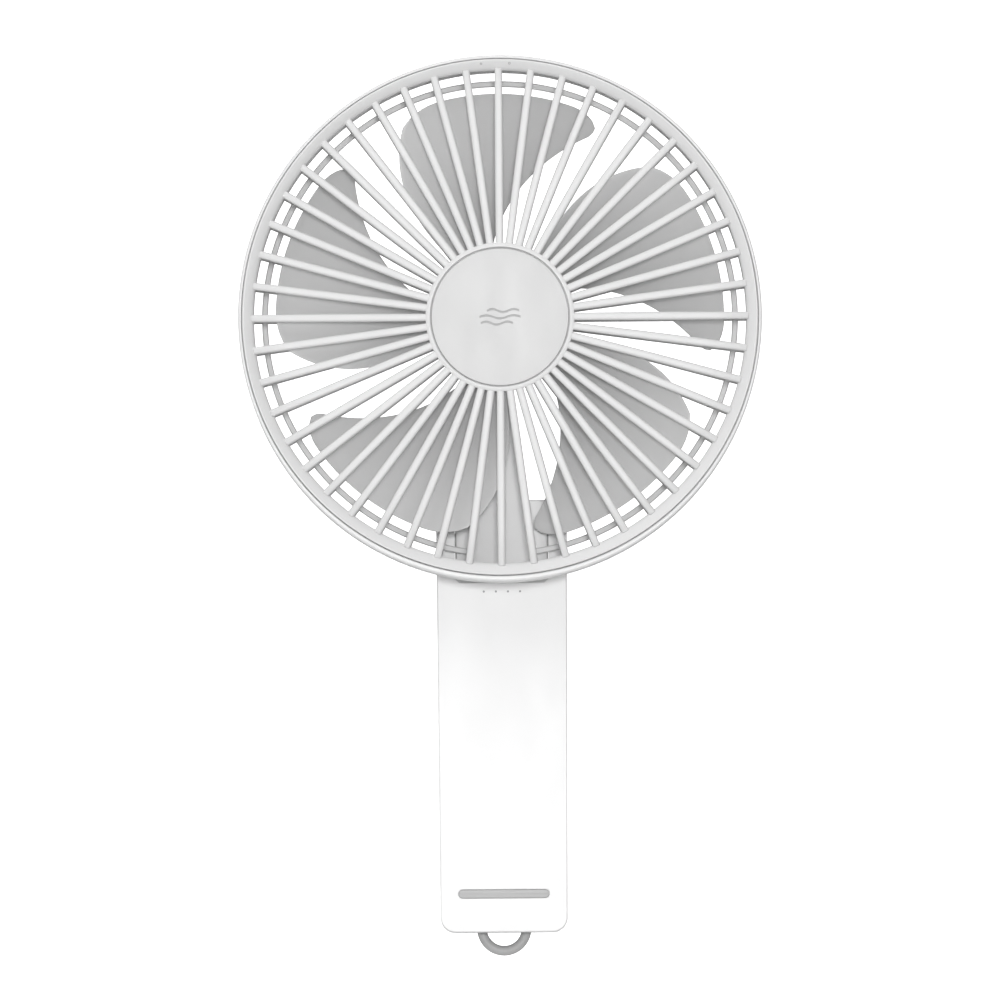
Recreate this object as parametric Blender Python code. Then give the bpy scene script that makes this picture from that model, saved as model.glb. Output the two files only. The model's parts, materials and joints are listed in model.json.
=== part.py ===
"""A rechargeable handheld fan: a round head on a flat battery handle, joined by a fold hinge.

Metres, +Z up. The fan faces -Y, the handle stands along Z, and z = 0 is the foot of the lanyard loop.
y = 0 is the middle of the whole depth. Angles about the head are clockwise from the top as seen from
the front.
"""

import math

import bmesh
import bpy
from mathutils import Vector

MM = 0.001
GAP = 0.3 * MM  # between pieces that touch
RUNNING = 0.05 * MM  # radial clearance of a shaft in its hole
OVERLAP = 0.5 * MM  # how far shapes of one piece run into each other
STEP = 0.05 * MM  # keeps shapes that are joined off each other's planes
EDGE_BREAK = 0.25 * MM
RING_FACETS = 72
DISC_FACETS = 36
SCREW_FACETS = 12
THROUGH = 5 * MM  # how far a cutter runs past what it cuts

# Handle
HANDLE_LENGTH = 121.7 * MM
HANDLE_WIDTH_TOP = 36.8 * MM
HANDLE_WIDTH_BOTTOM = 35.7 * MM
HANDLE_DEPTH = 23 * MM
HANDLE_WALL = 2 * MM
HANDLE_EDGE = 3.2 * MM
CHEEK_GAP = 26.3 * MM  # the slot between the two hinge cheeks
CHEEK_CHAMFER = 1.2 * MM
SLOT_BELOW_AXIS = 0.6 * MM  # slot floor under the hinge barrel
NECK_HEIGHT = 6 * MM  # solid band between the slot and the cavity

# Lanyard loop
LOOP_MEAN_R = 6.25 * MM
LOOP_TUBE_R = 1.4 * MM
LOOP_CENTRE_BELOW_FACE = -1.2 * MM  # the arc's centre lies just inside the handle's foot
LOOP_PIVOT_DEPTH = 4 * MM
LOOP_PIN_R = 0.6 * MM
POCKET_HALF_DEPTH = 6 * MM
POCKET_ROOF = 2.4 * MM  # above the loop's pivot
POCKET_SIDE = 0.6 * MM  # between the loop and the pocket
LOOP_PIN_SEAT = 2 * MM  # how deep the loop's pin sits in each side
LOOP_LEG_ABOVE_PIN = 1.5 * MM
FOOT_FLOOR = 1.6 * MM  # between the pocket and the cavity

# Head
HEAD_R = 73.4 * MM
HEAD_DEPTH = 32 * MM
HEAD_TO_HANDLE = 1 * MM
HINGE_INSET = 11.5 * MM  # the hinge axis stands this far inside the head's outline
SHELL_LIP = 0.9 * MM
SHELL_WALL = 2.2 * MM
SHELL_SETBACK = 0.6 * MM  # behind the front grille's face
SHELL_BACK_ROUND = 3 * MM
GRILLE_GAP = 0.3 * MM  # between the shell's lip and the front grille
RING_WIDTH = 3.2 * MM
RING_DEPTH = 5 * MM
RING_CHAMFER = 0.9 * MM
SKIRT_DEPTH = 4.8 * MM
SKIRT_WALL = 0.9 * MM
TAB_COUNT = 4
TAB_ANGLE = 12.0
TAB_FIRST = 45.0  # degrees
TAB_THICK = 1.2 * MM
TAB_REACH = 0.7 * MM
RIB_COUNT = 48
RIB_WIDTH = 2.0 * MM
RIB_DEPTH = 2.8 * MM
RIB_SETBACK = 0.3 * MM
RIB_SHOULDER = 0.35  # how far back the rounding reaches, as a share of the depth
RIB_CROWN = 0.55  # the flat of the rounded front, as a share of the width
HUB_R = 20.9 * MM
HUB_RIM = 1.3 * MM
HUB_DEPTH = 3.3 * MM
BADGE_THICK = 1.5 * MM
BADGE_RECESS = 0.4 * MM
BADGE_EDGE = 0.2 * MM

# Rear grille
REAR_RIM_WIDTH = 1.9 * MM
REAR_DEPTH = 2.9 * MM
REAR_RING_INSET = 6.6 * MM  # in from the head's outside
REAR_RING_WIDTH = 1.7 * MM
REAR_PLATE_R = 18 * MM
REAR_LIP = 1.2 * MM  # the shell's inward lip behind the rear grille
LIP_SETBACK = 0.6 * MM  # how much less the lip reaches in than the grille's rim
SECTOR_HALF_ANGLE = 7.2
LEAD_R = 0.55 * MM
GROOVE_HALF = 1.2 * MM
GROOVE_DEPTH = 1.4 * MM
GROOVE_FROM_RING = 3 * MM
LEAD_COVER_SIDE = 0.7 * MM
LEAD_COVER_THICK = 0.7 * MM
REAR_COVER_R = 16 * MM
REAR_COVER_THICK = 1.1 * MM

# Impeller
BLADE_COUNT = 5
BLADE_TIP_INSET = 10.5 * MM  # in from the head's outside
BLADE_THICK = 1.5 * MM
BLADE_RISE = 16 * MM  # how far the blade runs back from its front edge
IMPELLER_FRONT_CLEAR = 7 * MM  # behind the front grille's face
CAN_TO_HUB = 1.15 * MM
IMPELLER_HUB_WALL = 2 * MM
IMPELLER_HUB_DEPTH = 16 * MM
BLADE_FRONT_EDGE = 31.5  # degrees
BLADE_FRONT_SWEEP = 16.5
BLADE_FRONT_SWEEP_FROM = 27 * MM
BLADE_REAR_EDGE = 68.0
BLADE_REAR_SWEEP = 31.0
BLADE_REAR_FROM = 21.8 * MM
BLADE_REAR_TO = 57.4 * MM
BLADE_CAMBER = 0.8 * MM
BLADE_SETBACK = 0.8 * MM  # of the front edge behind the hub's face
BLADE_CORNER = 4.5 * MM
BLADE_CORNER_SHARE = 0.16  # of the blade's width
BLADE_CORNER_FULLNESS = 0.92
SPINNER_R = 5 * MM
SPINNER_FLAT_R = 3.5 * MM
SPINNER_DEPTH = 1.1 * MM
SPINNER_EDGE = 0.4 * MM
SPINNER_CUP = 0.6 * MM

# Motor
SHAFT_R = 1.5 * MM
BEARING_R = 2.7 * MM
BEARING_LENGTH = 4 * MM
BEARING_TUBE_WALL = 1.2 * MM
MOTOR_BASE_R = 12.5 * MM
MOTOR_BASE_THICK = 1.4 * MM
STATOR_R = 10.8 * MM
STATOR_LENGTH = 5 * MM
STATOR_TOOTH = 2 * MM
STATOR_SHOE = 1.2 * MM
COIL_WALL = 0.9 * MM
MAGNET_WALL = 1.2 * MM
CAN_WALL = 0.7 * MM
AIR_GAP = 0.35 * MM
YOKE_WALL = 1.6 * MM
COIL_COUNT = 6
SHOE_HALF_ANGLE = 24.0
STATOR_FROM_CAN_END = 1.5 * MM
MAGNET_FROM_CAN_END = 0.5 * MM
MOTOR_BOARD_THICK = 0.8 * MM
MOTOR_BOARD_INSET = 2 * MM
MOTOR_SCREW_INSET = 3.2 * MM
MOTOR_SCREW_TURN = 47.0  # degrees
SCREW_SHANK_R = 0.9 * MM
SCREW_HEAD_R = 1.7 * MM
SCREW_HEAD_DEPTH = 1 * MM
SCREW_CROWN = 0.8  # the flat of the head, as a share of its radius
SCREW_RECESS_R = 0.75 * MM
SCREW_RECESS_DEPTH = 0.6 * MM
SCREW_TIP_ROOM = 0.5 * MM
CASE_SCREW_ABOVE_FOOT = 3.6 * MM
CASE_SCREW_SINK = 0.5 * MM

# Hinge
HINGE_PIN_R = 2 * MM
CHEEK_SIDE_CLEAR = 0.4 * MM
BARREL_CLEAR = 0.3 * MM
WASHER_R = 5 * MM
WASHER_THICK = 0.8 * MM
PIN_END_WALL = 1.6 * MM
WASHER_PROUD = 0.1 * MM
PAD_SHARE = 0.8  # of the barrel's width
PAD_TOP_SHARE = 0.95  # of the barrel's radius
KNUCKLE_SCREW_X = 4.2 * MM
KNUCKLE_SCREW_RISE = 5.6 * MM  # above the hinge's axis
KNUCKLE_SCREW_SKIN = 0.8 * MM  # of the rear grille left in front of the screw
KNUCKLE_SCREW_SEAT = 3 * MM  # behind the hinge's axis

# Inside the handle
CELL_R = 9.15 * MM
CELL_EDGE = 0.6 * MM
CELL_TO_BOARD = 1.5 * MM
TAB_SIZE = (6 * MM, 8 * MM, 0.2 * MM)
BATTERY_LEAD_R = 0.6 * MM
BATTERY_LEAD_SIDE = 2 * MM  # from the cell
BATTERY_LEAD_LAP = 3 * MM  # over the board
BOARD_THICK = 1.2 * MM
BOARD_SIDE = 2 * MM  # from the cavity's walls
BOARD_BEHIND_AXIS = 1.7 * MM
BOARD_SPARE = 2 * MM  # of the board's length beyond the button and the socket
BUTTON_R = 5 * MM
BUTTON_FLANGE = 0.9 * MM
BUTTON_PROUD = 0.4 * MM
BUTTON_TRAVEL = 0.4 * MM
BUTTON_FLANGE_OUT = 0.7 * MM
BUTTON_EDGE = 0.4 * MM
BUTTON_DISH = 0.3 * MM
BUTTON_SIDE = 0.15 * MM
SWITCH_HALF = 3 * MM
SWITCH_EDGE = 0.3 * MM
PLUNGER_R = 1.5 * MM
PLUNGER_OUT = 1 * MM
PORT_WIDTH = 9 * MM
PORT_HEIGHT = 3.3 * MM
PORT_DEPTH = 7.2 * MM
PORT_SETBACK = 0.3 * MM
PORT_WALL = 0.3 * MM
TONGUE_WIDTH = 6.6 * MM
TONGUE_THICK = 0.7 * MM
LAMP_COUNT = 4
LAMP_PITCH = 3.4 * MM
LAMP_R = 0.3 * MM
LAMP_BELOW_SLOT = 2.4 * MM
LAMP_BODY = (1.6 * MM, 0.6 * MM, 1 * MM)
LIGHT_GUIDE = (12.4 * MM, 1.2 * MM, 1.6 * MM)
LAMP_BOARD_WIDTH = 12.8 * MM
LAMP_BOARD_THICK = 0.8 * MM
LAMP_BOARD_LAP = 6 * MM  # down beside the main board
LAMP_POCKET_WIDTH = 14 * MM
LAMP_POCKET_BACK = 7 * MM
LAMP_POCKET_ROOF = 0.8 * MM  # under the slot's floor
STRIP_LENGTH = 25.8 * MM
STRIP_HEIGHT = 2.7 * MM
STRIP_ABOVE_FOOT = 10.8 * MM
STRIP_RECESS = 1.2 * MM
STRIP_SETBACK = 0.2 * MM

# Places that follow from the sizes above
FOOT_Z = LOOP_MEAN_R + LOOP_TUBE_R + LOOP_CENTRE_BELOW_FACE + STEP
DEPTH = HEAD_DEPTH + HEAD_TO_HANDLE + HANDLE_DEPTH
FRONT_Y = -(DEPTH + BUTTON_PROUD) / 2
HEAD_BACK_Y = FRONT_Y + HEAD_DEPTH
HANDLE_FRONT_Y = HEAD_BACK_Y + HEAD_TO_HANDLE
HANDLE_BACK_Y = HANDLE_FRONT_Y + HANDLE_DEPTH
HINGE_Y = (HANDLE_FRONT_Y + HANDLE_BACK_Y) / 2
HANDLE_R = HANDLE_DEPTH / 2
TOP_Z = FOOT_Z + HANDLE_LENGTH
HINGE_Z = TOP_Z - HANDLE_R
SLOT_Z = HINGE_Z - HANDLE_R - SLOT_BELOW_AXIS
HEAD_Z = HINGE_Z + HEAD_R - HINGE_INSET
PIVOT_Z = FOOT_Z + LOOP_PIVOT_DEPTH
POCKET_TOP_Z = PIVOT_Z + POCKET_ROOF
CAVITY_Z = (POCKET_TOP_Z + FOOT_FLOOR, SLOT_Z - NECK_HEIGHT)
CELL_Z = CAVITY_Z[0] + 2 * GAP
BOARD_LENGTH = PORT_HEIGHT + 2 * (BUTTON_R + BUTTON_FLANGE_OUT) + BOARD_SPARE
BOARD_Z = (CAVITY_Z[1] - GAP - BOARD_LENGTH, CAVITY_Z[1] - GAP)
CELL_LENGTH = BOARD_Z[0] - CELL_TO_BOARD - CELL_Z
BOARD_Y = HINGE_Y + BOARD_BEHIND_AXIS
BUTTON_Z = BOARD_Z[1] - BUTTON_R - 2 * BUTTON_FLANGE
PORT_Z = BOARD_Z[0] + PORT_HEIGHT / 2
LAMP_Z = SLOT_Z - LAMP_BELOW_SLOT
STRIP_Z = FOOT_Z + STRIP_ABOVE_FOOT
GRILLE_R = HEAD_R - SHELL_LIP - GRILLE_GAP
RING_IN_R = GRILLE_R - RING_WIDTH
REAR_RING_R = HEAD_R - REAR_RING_INSET
BLADE_TIP_R = HEAD_R - BLADE_TIP_INSET
CAN_IN_R = STATOR_R + AIR_GAP + MAGNET_WALL + GAP
IMPELLER_HUB_R = CAN_IN_R + CAN_WALL + CAN_TO_HUB + IMPELLER_HUB_WALL
SEAT_R = HEAD_R - SHELL_WALL  # inner wall of the head shell behind the grille
SKIRT_R = SEAT_R - TAB_REACH - GAP
SKIRT_Y = (FRONT_Y + RING_DEPTH, FRONT_Y + RING_DEPTH + SKIRT_DEPTH)
LIP_R = SEAT_R - REAR_RIM_WIDTH + LIP_SETBACK
REAR_Y = HEAD_BACK_Y - REAR_LIP - GAP - REAR_DEPTH
REAR_BACK_Y = REAR_Y + REAR_DEPTH
REAR_RIM_R = SEAT_R - GAP
IMPELLER_Y = FRONT_Y + IMPELLER_FRONT_CLEAR
MOTOR_BASE_Y = REAR_Y - GAP - MOTOR_BASE_THICK
BARREL_R = HANDLE_R - BARREL_CLEAR
BARREL_HALF = CHEEK_GAP / 2 - CHEEK_SIDE_CLEAR
BARREL_TOP_Z = HINGE_Z + BARREL_R
POCKET_HALF = LOOP_MEAN_R + LOOP_TUBE_R + POCKET_SIDE
KNUCKLE_SCREW_Z = HINGE_Z + KNUCKLE_SCREW_RISE
FAN_AXIS = Vector((0, 0, HEAD_Z))
HINGE_AXIS = Vector((0, HINGE_Y, HINGE_Z))
LOOP_AXIS = Vector((0, HINGE_Y, PIVOT_Z))

FINISHES = {
    "white": ((0.93, 0.93, 0.93), 0.35, 0.0),
    "pale_grey": ((0.72, 0.72, 0.72), 0.45, 0.0),
    "blade_grey": ((0.52, 0.52, 0.52), 0.45, 0.0),
    "trim_grey": ((0.58, 0.58, 0.58), 0.5, 0.0),
    "steel": ((0.6, 0.6, 0.62), 0.3, 1.0),
    "copper": ((0.72, 0.36, 0.18), 0.35, 1.0),
    "bronze": ((0.6, 0.42, 0.2), 0.4, 1.0),
    "ferrite": ((0.06, 0.06, 0.065), 0.6, 0.0),
    "board": ((0.03, 0.2, 0.09), 0.5, 0.0),
    "cell_wrap": ((0.1, 0.3, 0.55), 0.4, 0.0),
    "lead": ((0.08, 0.08, 0.08), 0.5, 0.0),
    "lamp": ((0.8, 0.85, 0.8), 0.2, 0.0),
}


def clear_scene():
    """Removes what the startup scene holds."""
    for obj in list(bpy.data.objects):
        bpy.data.objects.remove(obj, do_unlink=True)


def finish_material(finish):
    """The material of one of the finishes, made once."""
    material = bpy.data.materials.get(finish)
    if material is None:
        colour, roughness, metallic = FINISHES[finish]
        material = bpy.data.materials.new(finish)
        material.use_nodes = True
        shader = material.node_tree.nodes["Principled BSDF"]
        shader.inputs["Base Color"].default_value = (*colour, 1)
        shader.inputs["Roughness"].default_value = roughness
        shader.inputs["Metallic"].default_value = metallic
    return material


def pivot(name, location, parent=None):
    """An empty on a joint's axis. location is in the world."""
    empty = bpy.data.objects.new(name, None)
    bpy.context.collection.objects.link(empty)
    empty.parent = parent
    empty.location = location - (world_of(parent) if parent else Vector())
    return empty


def world_of(empty):
    """Where a pivot stands in the world."""
    place = Vector(empty.location)
    return place + world_of(empty.parent) if empty.parent else place


def piece(name, bm, finish, parent=None):
    """A named object from a bmesh in world coordinates, with its origin on its parent's axis."""
    bmesh.ops.recalc_face_normals(bm, faces=bm.faces)
    if parent:
        bmesh.ops.translate(bm, verts=bm.verts, vec=-world_of(parent))
    mesh = bpy.data.meshes.new(name)
    bm.to_mesh(mesh)
    bm.free()
    mesh.shade_smooth()
    mesh.set_sharp_from_angle(angle=math.radians(35))
    mesh.materials.append(finish_material(finish))
    obj = bpy.data.objects.new(name, mesh)
    bpy.context.collection.objects.link(obj)
    obj.parent = parent
    return obj


def helper(name, bm):
    """A hidden solid that a Boolean reads."""
    obj = piece(name, bm, "white")
    obj.hide_render = True
    obj.display_type = "WIRE"
    return obj


def boolean(obj, operation, *others):
    """Adds Booleans that read the other objects."""
    for other in others:
        modifier = obj.modifiers.new(other.name, "BOOLEAN")
        modifier.operation = operation
        modifier.solver = "EXACT"
        modifier.object = other


def cut(obj, *cutters):
    """Takes the cutters away from the object."""
    boolean(obj, "DIFFERENCE", *cutters)


def join(obj, *others):
    """Makes the others part of the object."""
    boolean(obj, "UNION", *others)


def box(low, high, edge=0.0, segments=2):
    """A block between two corners, with its edges rounded."""
    bm = bmesh.new()
    bmesh.ops.create_cube(bm, size=1)
    size = [b - a for a, b in zip(low, high)]
    bmesh.ops.scale(bm, vec=size, verts=bm.verts)
    middle = [(a + b) / 2 for a, b in zip(low, high)]
    bmesh.ops.translate(bm, vec=middle, verts=bm.verts)
    if edge:
        bmesh.ops.bevel(bm, geom=bm.edges[:], offset=edge, segments=segments, profile=0.5, affect="EDGES")
    return bm


def turned(profile, axis, centre, segments=32, ring=False):
    """A profile of (radius, distance along the axis) turned about the axis through centre.

    A ring's profile closes on itself. Any other starts and ends on the axis, with a flat end there.
    """
    bm = bmesh.new()
    place = {
        "X": lambda r, a, t: (a, r * math.cos(t), r * math.sin(t)),
        "Y": lambda r, a, t: (r * math.sin(t), a, r * math.cos(t)),
        "Z": lambda r, a, t: (r * math.cos(t), r * math.sin(t), a),
    }[axis]
    angles = [2 * math.pi * k / segments for k in range(segments)]
    rims = profile if ring else profile[1:-1]
    rows = [[bm.verts.new(Vector(place(r, a, t)) + Vector(centre)) for t in angles] for r, a in rims]
    for row, after in zip(rows, rows[1:] + (rows[:1] if ring else [])):
        for k in range(segments):
            following = (k + 1) % segments
            bm.faces.new((row[k], row[following], after[following], after[k]))
    if not ring:
        bm.faces.new(rows[0])
        bm.faces.new(rows[-1])
    return bm


def rod(radius, start, end, axis, centre, segments=24):
    """A cylinder along one of the axes, from start to end."""
    return turned([(0, start), (radius, start), (radius, end), (0, end)], axis, centre, segments)


def pipe(inner, outer, start, end, axis, centre, segments=32):
    """A tube along one of the axes, from start to end."""
    profile = [(inner, start), (outer, start), (outer, end), (inner, end)]
    return turned(profile, axis, centre, segments, ring=True)


def extruded(outline, axis, start, end):
    """A closed outline of (u, v) points pushed along X (u, v = y, z) or along Y (u, v = x, z)."""
    bm = bmesh.new()
    at = {"X": lambda u, v, w: (w, u, v), "Y": lambda u, v, w: (u, w, v)}[axis]
    near = [bm.verts.new(at(u, v, start)) for u, v in outline]
    far = [bm.verts.new(at(u, v, end)) for u, v in outline]
    bm.faces.new(near)
    bm.faces.new(far[::-1])
    for k in range(len(outline)):
        after = (k + 1) % len(outline)
        bm.faces.new((near[k], near[after], far[after], far[k]))
    return bm


def arc(centre_u, centre_v, radius, first, last, steps):
    """Points on an arc, with angles in degrees from +u towards +v."""
    angles = [math.radians(first + (last - first) * k / steps) for k in range(steps + 1)]
    return [(centre_u + radius * math.cos(t), centre_v + radius * math.sin(t)) for t in angles]


def stadium(length, height, z, y0, y1, steps=8):
    """A round-ended bar along X."""
    half = (length - height) / 2
    outline = arc(half, z, height / 2, -90, 90, steps) + arc(-half, z, height / 2, 90, 270, steps)
    return extruded(outline, "Y", y0, y1)


def sector(inner, outer, middle, half, y0, y1, steps=4):
    """A piece of a disc about the fan's axis. middle and half are angles in degrees."""
    angles = [math.radians(middle - half + 2 * half * k / steps) for k in range(steps + 1)]
    rim = [(outer * math.sin(t), HEAD_Z + outer * math.cos(t)) for t in angles]
    root = [(inner * math.sin(t), HEAD_Z + inner * math.cos(t)) for t in reversed(angles)]
    return extruded(rim + root, "Y", y0, y1)


def merged(parts):
    """Several bmeshes as one, each still its own closed solid."""
    whole = bmesh.new()
    for part in parts:
        mesh = bpy.data.meshes.new("part")
        part.to_mesh(mesh)
        part.free()
        whole.from_mesh(mesh)
        bpy.data.meshes.remove(mesh)
    return whole


def ribs(inner, outer, y0, y1, skip_bottom=False):
    """Straight ribs from the hub to the ring, with a rounded front edge."""
    half = RIB_WIDTH / 2
    shoulder, crown = y0 + RIB_DEPTH * RIB_SHOULDER, half * RIB_CROWN
    section = [(-half, y1), (-half, shoulder), (-crown, y0), (crown, y0), (half, shoulder), (half, y1)]
    turns = [360 * k / RIB_COUNT for k in range(RIB_COUNT)]
    if skip_bottom:
        turns = [turn for turn in turns if abs(turn - 180) >= SECTOR_HALF_ANGLE]
    return merged([rib(section, inner, outer, math.radians(turn)) for turn in turns])


def rib(section, inner, outer, turn):
    """One bar of this section, pointing away from the fan's axis."""
    along = Vector((math.sin(turn), 0, math.cos(turn)))
    across = Vector((math.cos(turn), 0, -math.sin(turn)))
    bm = bmesh.new()
    ends = []
    for radius in (inner, outer):
        base = FAN_AXIS + along * radius
        ends.append([bm.verts.new(base + across * u + Vector((0, y, 0))) for u, y in section])
    bm.faces.new(ends[0])
    bm.faces.new(ends[1][::-1])
    for a in range(len(section)):
        b = (a + 1) % len(section)
        bm.faces.new((ends[0][a], ends[0][b], ends[1][b], ends[1][a]))
    bmesh.ops.recalc_face_normals(bm, faces=bm.faces)
    return bm


def tabs(inner, outer, y0, y1):
    """The bayonet's lugs, evenly spaced round the head."""
    step = 360 / TAB_COUNT
    return merged(
        [sector(inner, outer, TAB_FIRST + step * k, TAB_ANGLE / 2, y0, y1) for k in range(TAB_COUNT)]
    )


def front_grille(axis):
    """The twist-off grille with its bayonet skirt, and the badge in its hub."""
    back, skirt_back = SKIRT_Y
    profile = [
        (GRILLE_R - EDGE_BREAK, FRONT_Y),
        (GRILLE_R, FRONT_Y + EDGE_BREAK),
        (GRILLE_R, back),
        (SKIRT_R, back),
        (SKIRT_R, skirt_back),
        (SKIRT_R - SKIRT_WALL, skirt_back),
        (SKIRT_R - SKIRT_WALL, back - OVERLAP),
        (RING_IN_R, back - OVERLAP),
        (RING_IN_R, FRONT_Y + RING_CHAMFER),
        (RING_IN_R + RING_CHAMFER, FRONT_Y),
    ]
    ring = turned(profile, "Y", FAN_AXIS, RING_FACETS, ring=True)
    grille = piece("front_grille", ring, "pale_grey", axis)
    y0 = FRONT_Y + RIB_SETBACK
    bars = helper("front_ribs", ribs(HUB_R - OVERLAP, RING_IN_R + OVERLAP, y0, y0 + RIB_DEPTH))
    floor = FRONT_Y + BADGE_RECESS + BADGE_THICK + GAP
    inner = HUB_R - HUB_RIM
    face, hub_back = FRONT_Y + 2 * STEP, FRONT_Y + HUB_DEPTH
    hub = helper("front_hub", turned([
        (0, floor), (inner, floor), (inner, face), (HUB_R, face), (HUB_R, hub_back), (0, hub_back),
    ], "Y", FAN_AXIS, DISC_FACETS))
    catches = helper("front_tabs", tabs(
        SKIRT_R - SKIRT_WALL / 2, SKIRT_R + TAB_REACH, skirt_back - TAB_THICK, skirt_back - 2 * STEP))
    join(grille, bars, hub, catches)
    badge_r, badge_face = inner - GAP, FRONT_Y + BADGE_RECESS
    badge = turned([
        (0, badge_face), (badge_r - BADGE_EDGE, badge_face), (badge_r, badge_face + BADGE_EDGE),
        (badge_r, floor - GAP), (0, floor - GAP),
    ], "Y", FAN_AXIS, DISC_FACETS)
    piece("hub_badge", badge, "pale_grey", axis)


def head_shell(axis):
    """The white ring round the head, with the bayonet's lugs inside it."""
    front = FRONT_Y + SHELL_SETBACK
    seat = FRONT_Y + RING_DEPTH + GAP
    curve = SHELL_BACK_ROUND
    round_back = arc(HEAD_R - curve, HEAD_BACK_Y - curve, curve, 0, 90, 4)
    profile = [
        (HEAD_R - SHELL_LIP, front + SHELL_LIP / 3), (HEAD_R - SHELL_LIP / 2, front),
        (HEAD_R, front + SHELL_SETBACK),
        *round_back,
        (LIP_R, HEAD_BACK_Y), (LIP_R, HEAD_BACK_Y - REAR_LIP),
        (SEAT_R, HEAD_BACK_Y - REAR_LIP), (SEAT_R, seat), (HEAD_R - SHELL_LIP, seat),
    ]
    shell = piece("head_shell", turned(profile, "Y", FAN_AXIS, RING_FACETS, ring=True), "white", axis)
    lug_back = SKIRT_Y[1] - TAB_THICK - GAP
    lug_r = SKIRT_R + GAP - STEP
    lugs = helper("shell_lugs", tabs(lug_r, SEAT_R + OVERLAP, lug_back - TAB_THICK, lug_back))
    join(shell, lugs)


def rear_grille(axis):
    """The fixed grille behind the blades. A solid sector at the bottom carries the motor's lead."""
    rim_in = REAR_RIM_R - REAR_RIM_WIDTH
    rim = pipe(rim_in, REAR_RIM_R, REAR_Y, REAR_BACK_Y, "Y", FAN_AXIS, RING_FACETS)
    grille = piece("rear_grille", rim, "pale_grey", axis)
    rim_middle = REAR_RIM_R - REAR_RIM_WIDTH / 2
    bars = ribs(REAR_PLATE_R - OVERLAP, rim_middle, REAR_Y + 2 * STEP, REAR_BACK_Y - 2 * STEP,
                skip_bottom=True)
    ring = pipe(REAR_RING_R - REAR_RING_WIDTH, REAR_RING_R, REAR_Y + 5 * STEP, REAR_BACK_Y - 7 * STEP,
                "Y", FAN_AXIS, RING_FACETS)
    plate = rod(REAR_PLATE_R, REAR_Y + STEP, REAR_BACK_Y - STEP, "Y", FAN_AXIS, DISC_FACETS)
    blank = sector(REAR_PLATE_R - 4 * OVERLAP, rim_middle, 180, SECTOR_HALF_ANGLE,
                   REAR_Y + 3 * STEP, REAR_BACK_Y - 3 * STEP, 6)
    join(grille, helper("rear_plate", plate), helper("rear_sector", blank))
    join(grille, helper("rear_ribs", bars), helper("rear_ring", ring))
    groove = box((-GROOVE_HALF, REAR_BACK_Y - GROOVE_DEPTH, HEAD_Z - REAR_RING_R + GROOVE_FROM_RING),
                 (GROOVE_HALF, REAR_BACK_Y + THROUGH, HEAD_Z - MOTOR_BASE_R))
    cut(grille, helper("lead_groove", groove))
    rear_screw_holes(grille)


def rear_screw_holes(grille):
    """Sunk holes for the motor's screws, and blind ones from behind for the knuckle's."""
    ends = (REAR_Y - THROUGH, REAR_BACK_Y + THROUGH)
    blind = (REAR_Y + KNUCKLE_SCREW_SKIN, REAR_BACK_Y + THROUGH)
    for k, (x, z) in enumerate(motor_screw_places()):
        hole = rod(SCREW_SHANK_R + RUNNING, *ends, "Y", (x, 0, z), SCREW_FACETS)
        cut(grille, helper(f"motor_hole_{k}", hole))
        sink = rod(SCREW_HEAD_R + GAP, REAR_BACK_Y - SCREW_HEAD_DEPTH - GAP, REAR_BACK_Y + THROUGH,
                   "Y", (x, 0, z), SCREW_FACETS)
        cut(grille, helper(f"motor_sink_{k}", sink))
    for k, x in enumerate(knuckle_screw_x()):
        hole = rod(SCREW_SHANK_R + RUNNING, *blind, "Y", (x, 0, KNUCKLE_SCREW_Z), SCREW_FACETS)
        cut(grille, helper(f"knuckle_hole_{k}", hole))


def motor_screw_places():
    """(x, z) of the screws round the motor's base."""
    radius = MOTOR_BASE_R - MOTOR_SCREW_INSET
    angles = [math.radians(MOTOR_SCREW_TURN + 120 * k) for k in range(3)]
    return [(radius * math.sin(t), HEAD_Z + radius * math.cos(t)) for t in angles]


def knuckle_screw_x():
    """x of the two screws that hold the hinge's barrel to the rear grille."""
    return -KNUCKLE_SCREW_X, KNUCKLE_SCREW_X


def screw(name, x, z, head_y, length, facing, parent):
    """A pan screw along Y. facing is +1 where the head looks backwards, -1 where it looks forwards."""
    under = head_y
    top = under + facing * SCREW_HEAD_DEPTH
    tip = under - facing * length
    profile = [(0, top), (SCREW_HEAD_R * SCREW_CROWN, top), (SCREW_HEAD_R, (under + top) / 2),
               (SCREW_HEAD_R, under), (SCREW_SHANK_R, under), (SCREW_SHANK_R, tip), (0, tip)]
    screw_piece = piece(name, turned(profile, "Y", (x, 0, z), SCREW_FACETS), "steel", parent)
    recess = rod(SCREW_RECESS_R, top - facing * SCREW_RECESS_DEPTH, top + facing * MM, "Y", (x, 0, z), 4)
    cut(screw_piece, helper(name + "_recess", recess))


def blade_edges(radius):
    """Angles of the blade's front and rear edges at this radius, in degrees."""
    front = BLADE_FRONT_EDGE
    if radius > BLADE_FRONT_SWEEP_FROM:
        share = (radius - BLADE_FRONT_SWEEP_FROM) / (BLADE_TIP_R - BLADE_FRONT_SWEEP_FROM)
        front += BLADE_FRONT_SWEEP * share**2
    share = (radius - BLADE_REAR_FROM) / (BLADE_REAR_TO - BLADE_REAR_FROM)
    return front, BLADE_REAR_EDGE + BLADE_REAR_SWEEP * min(share, 1.0)


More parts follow.
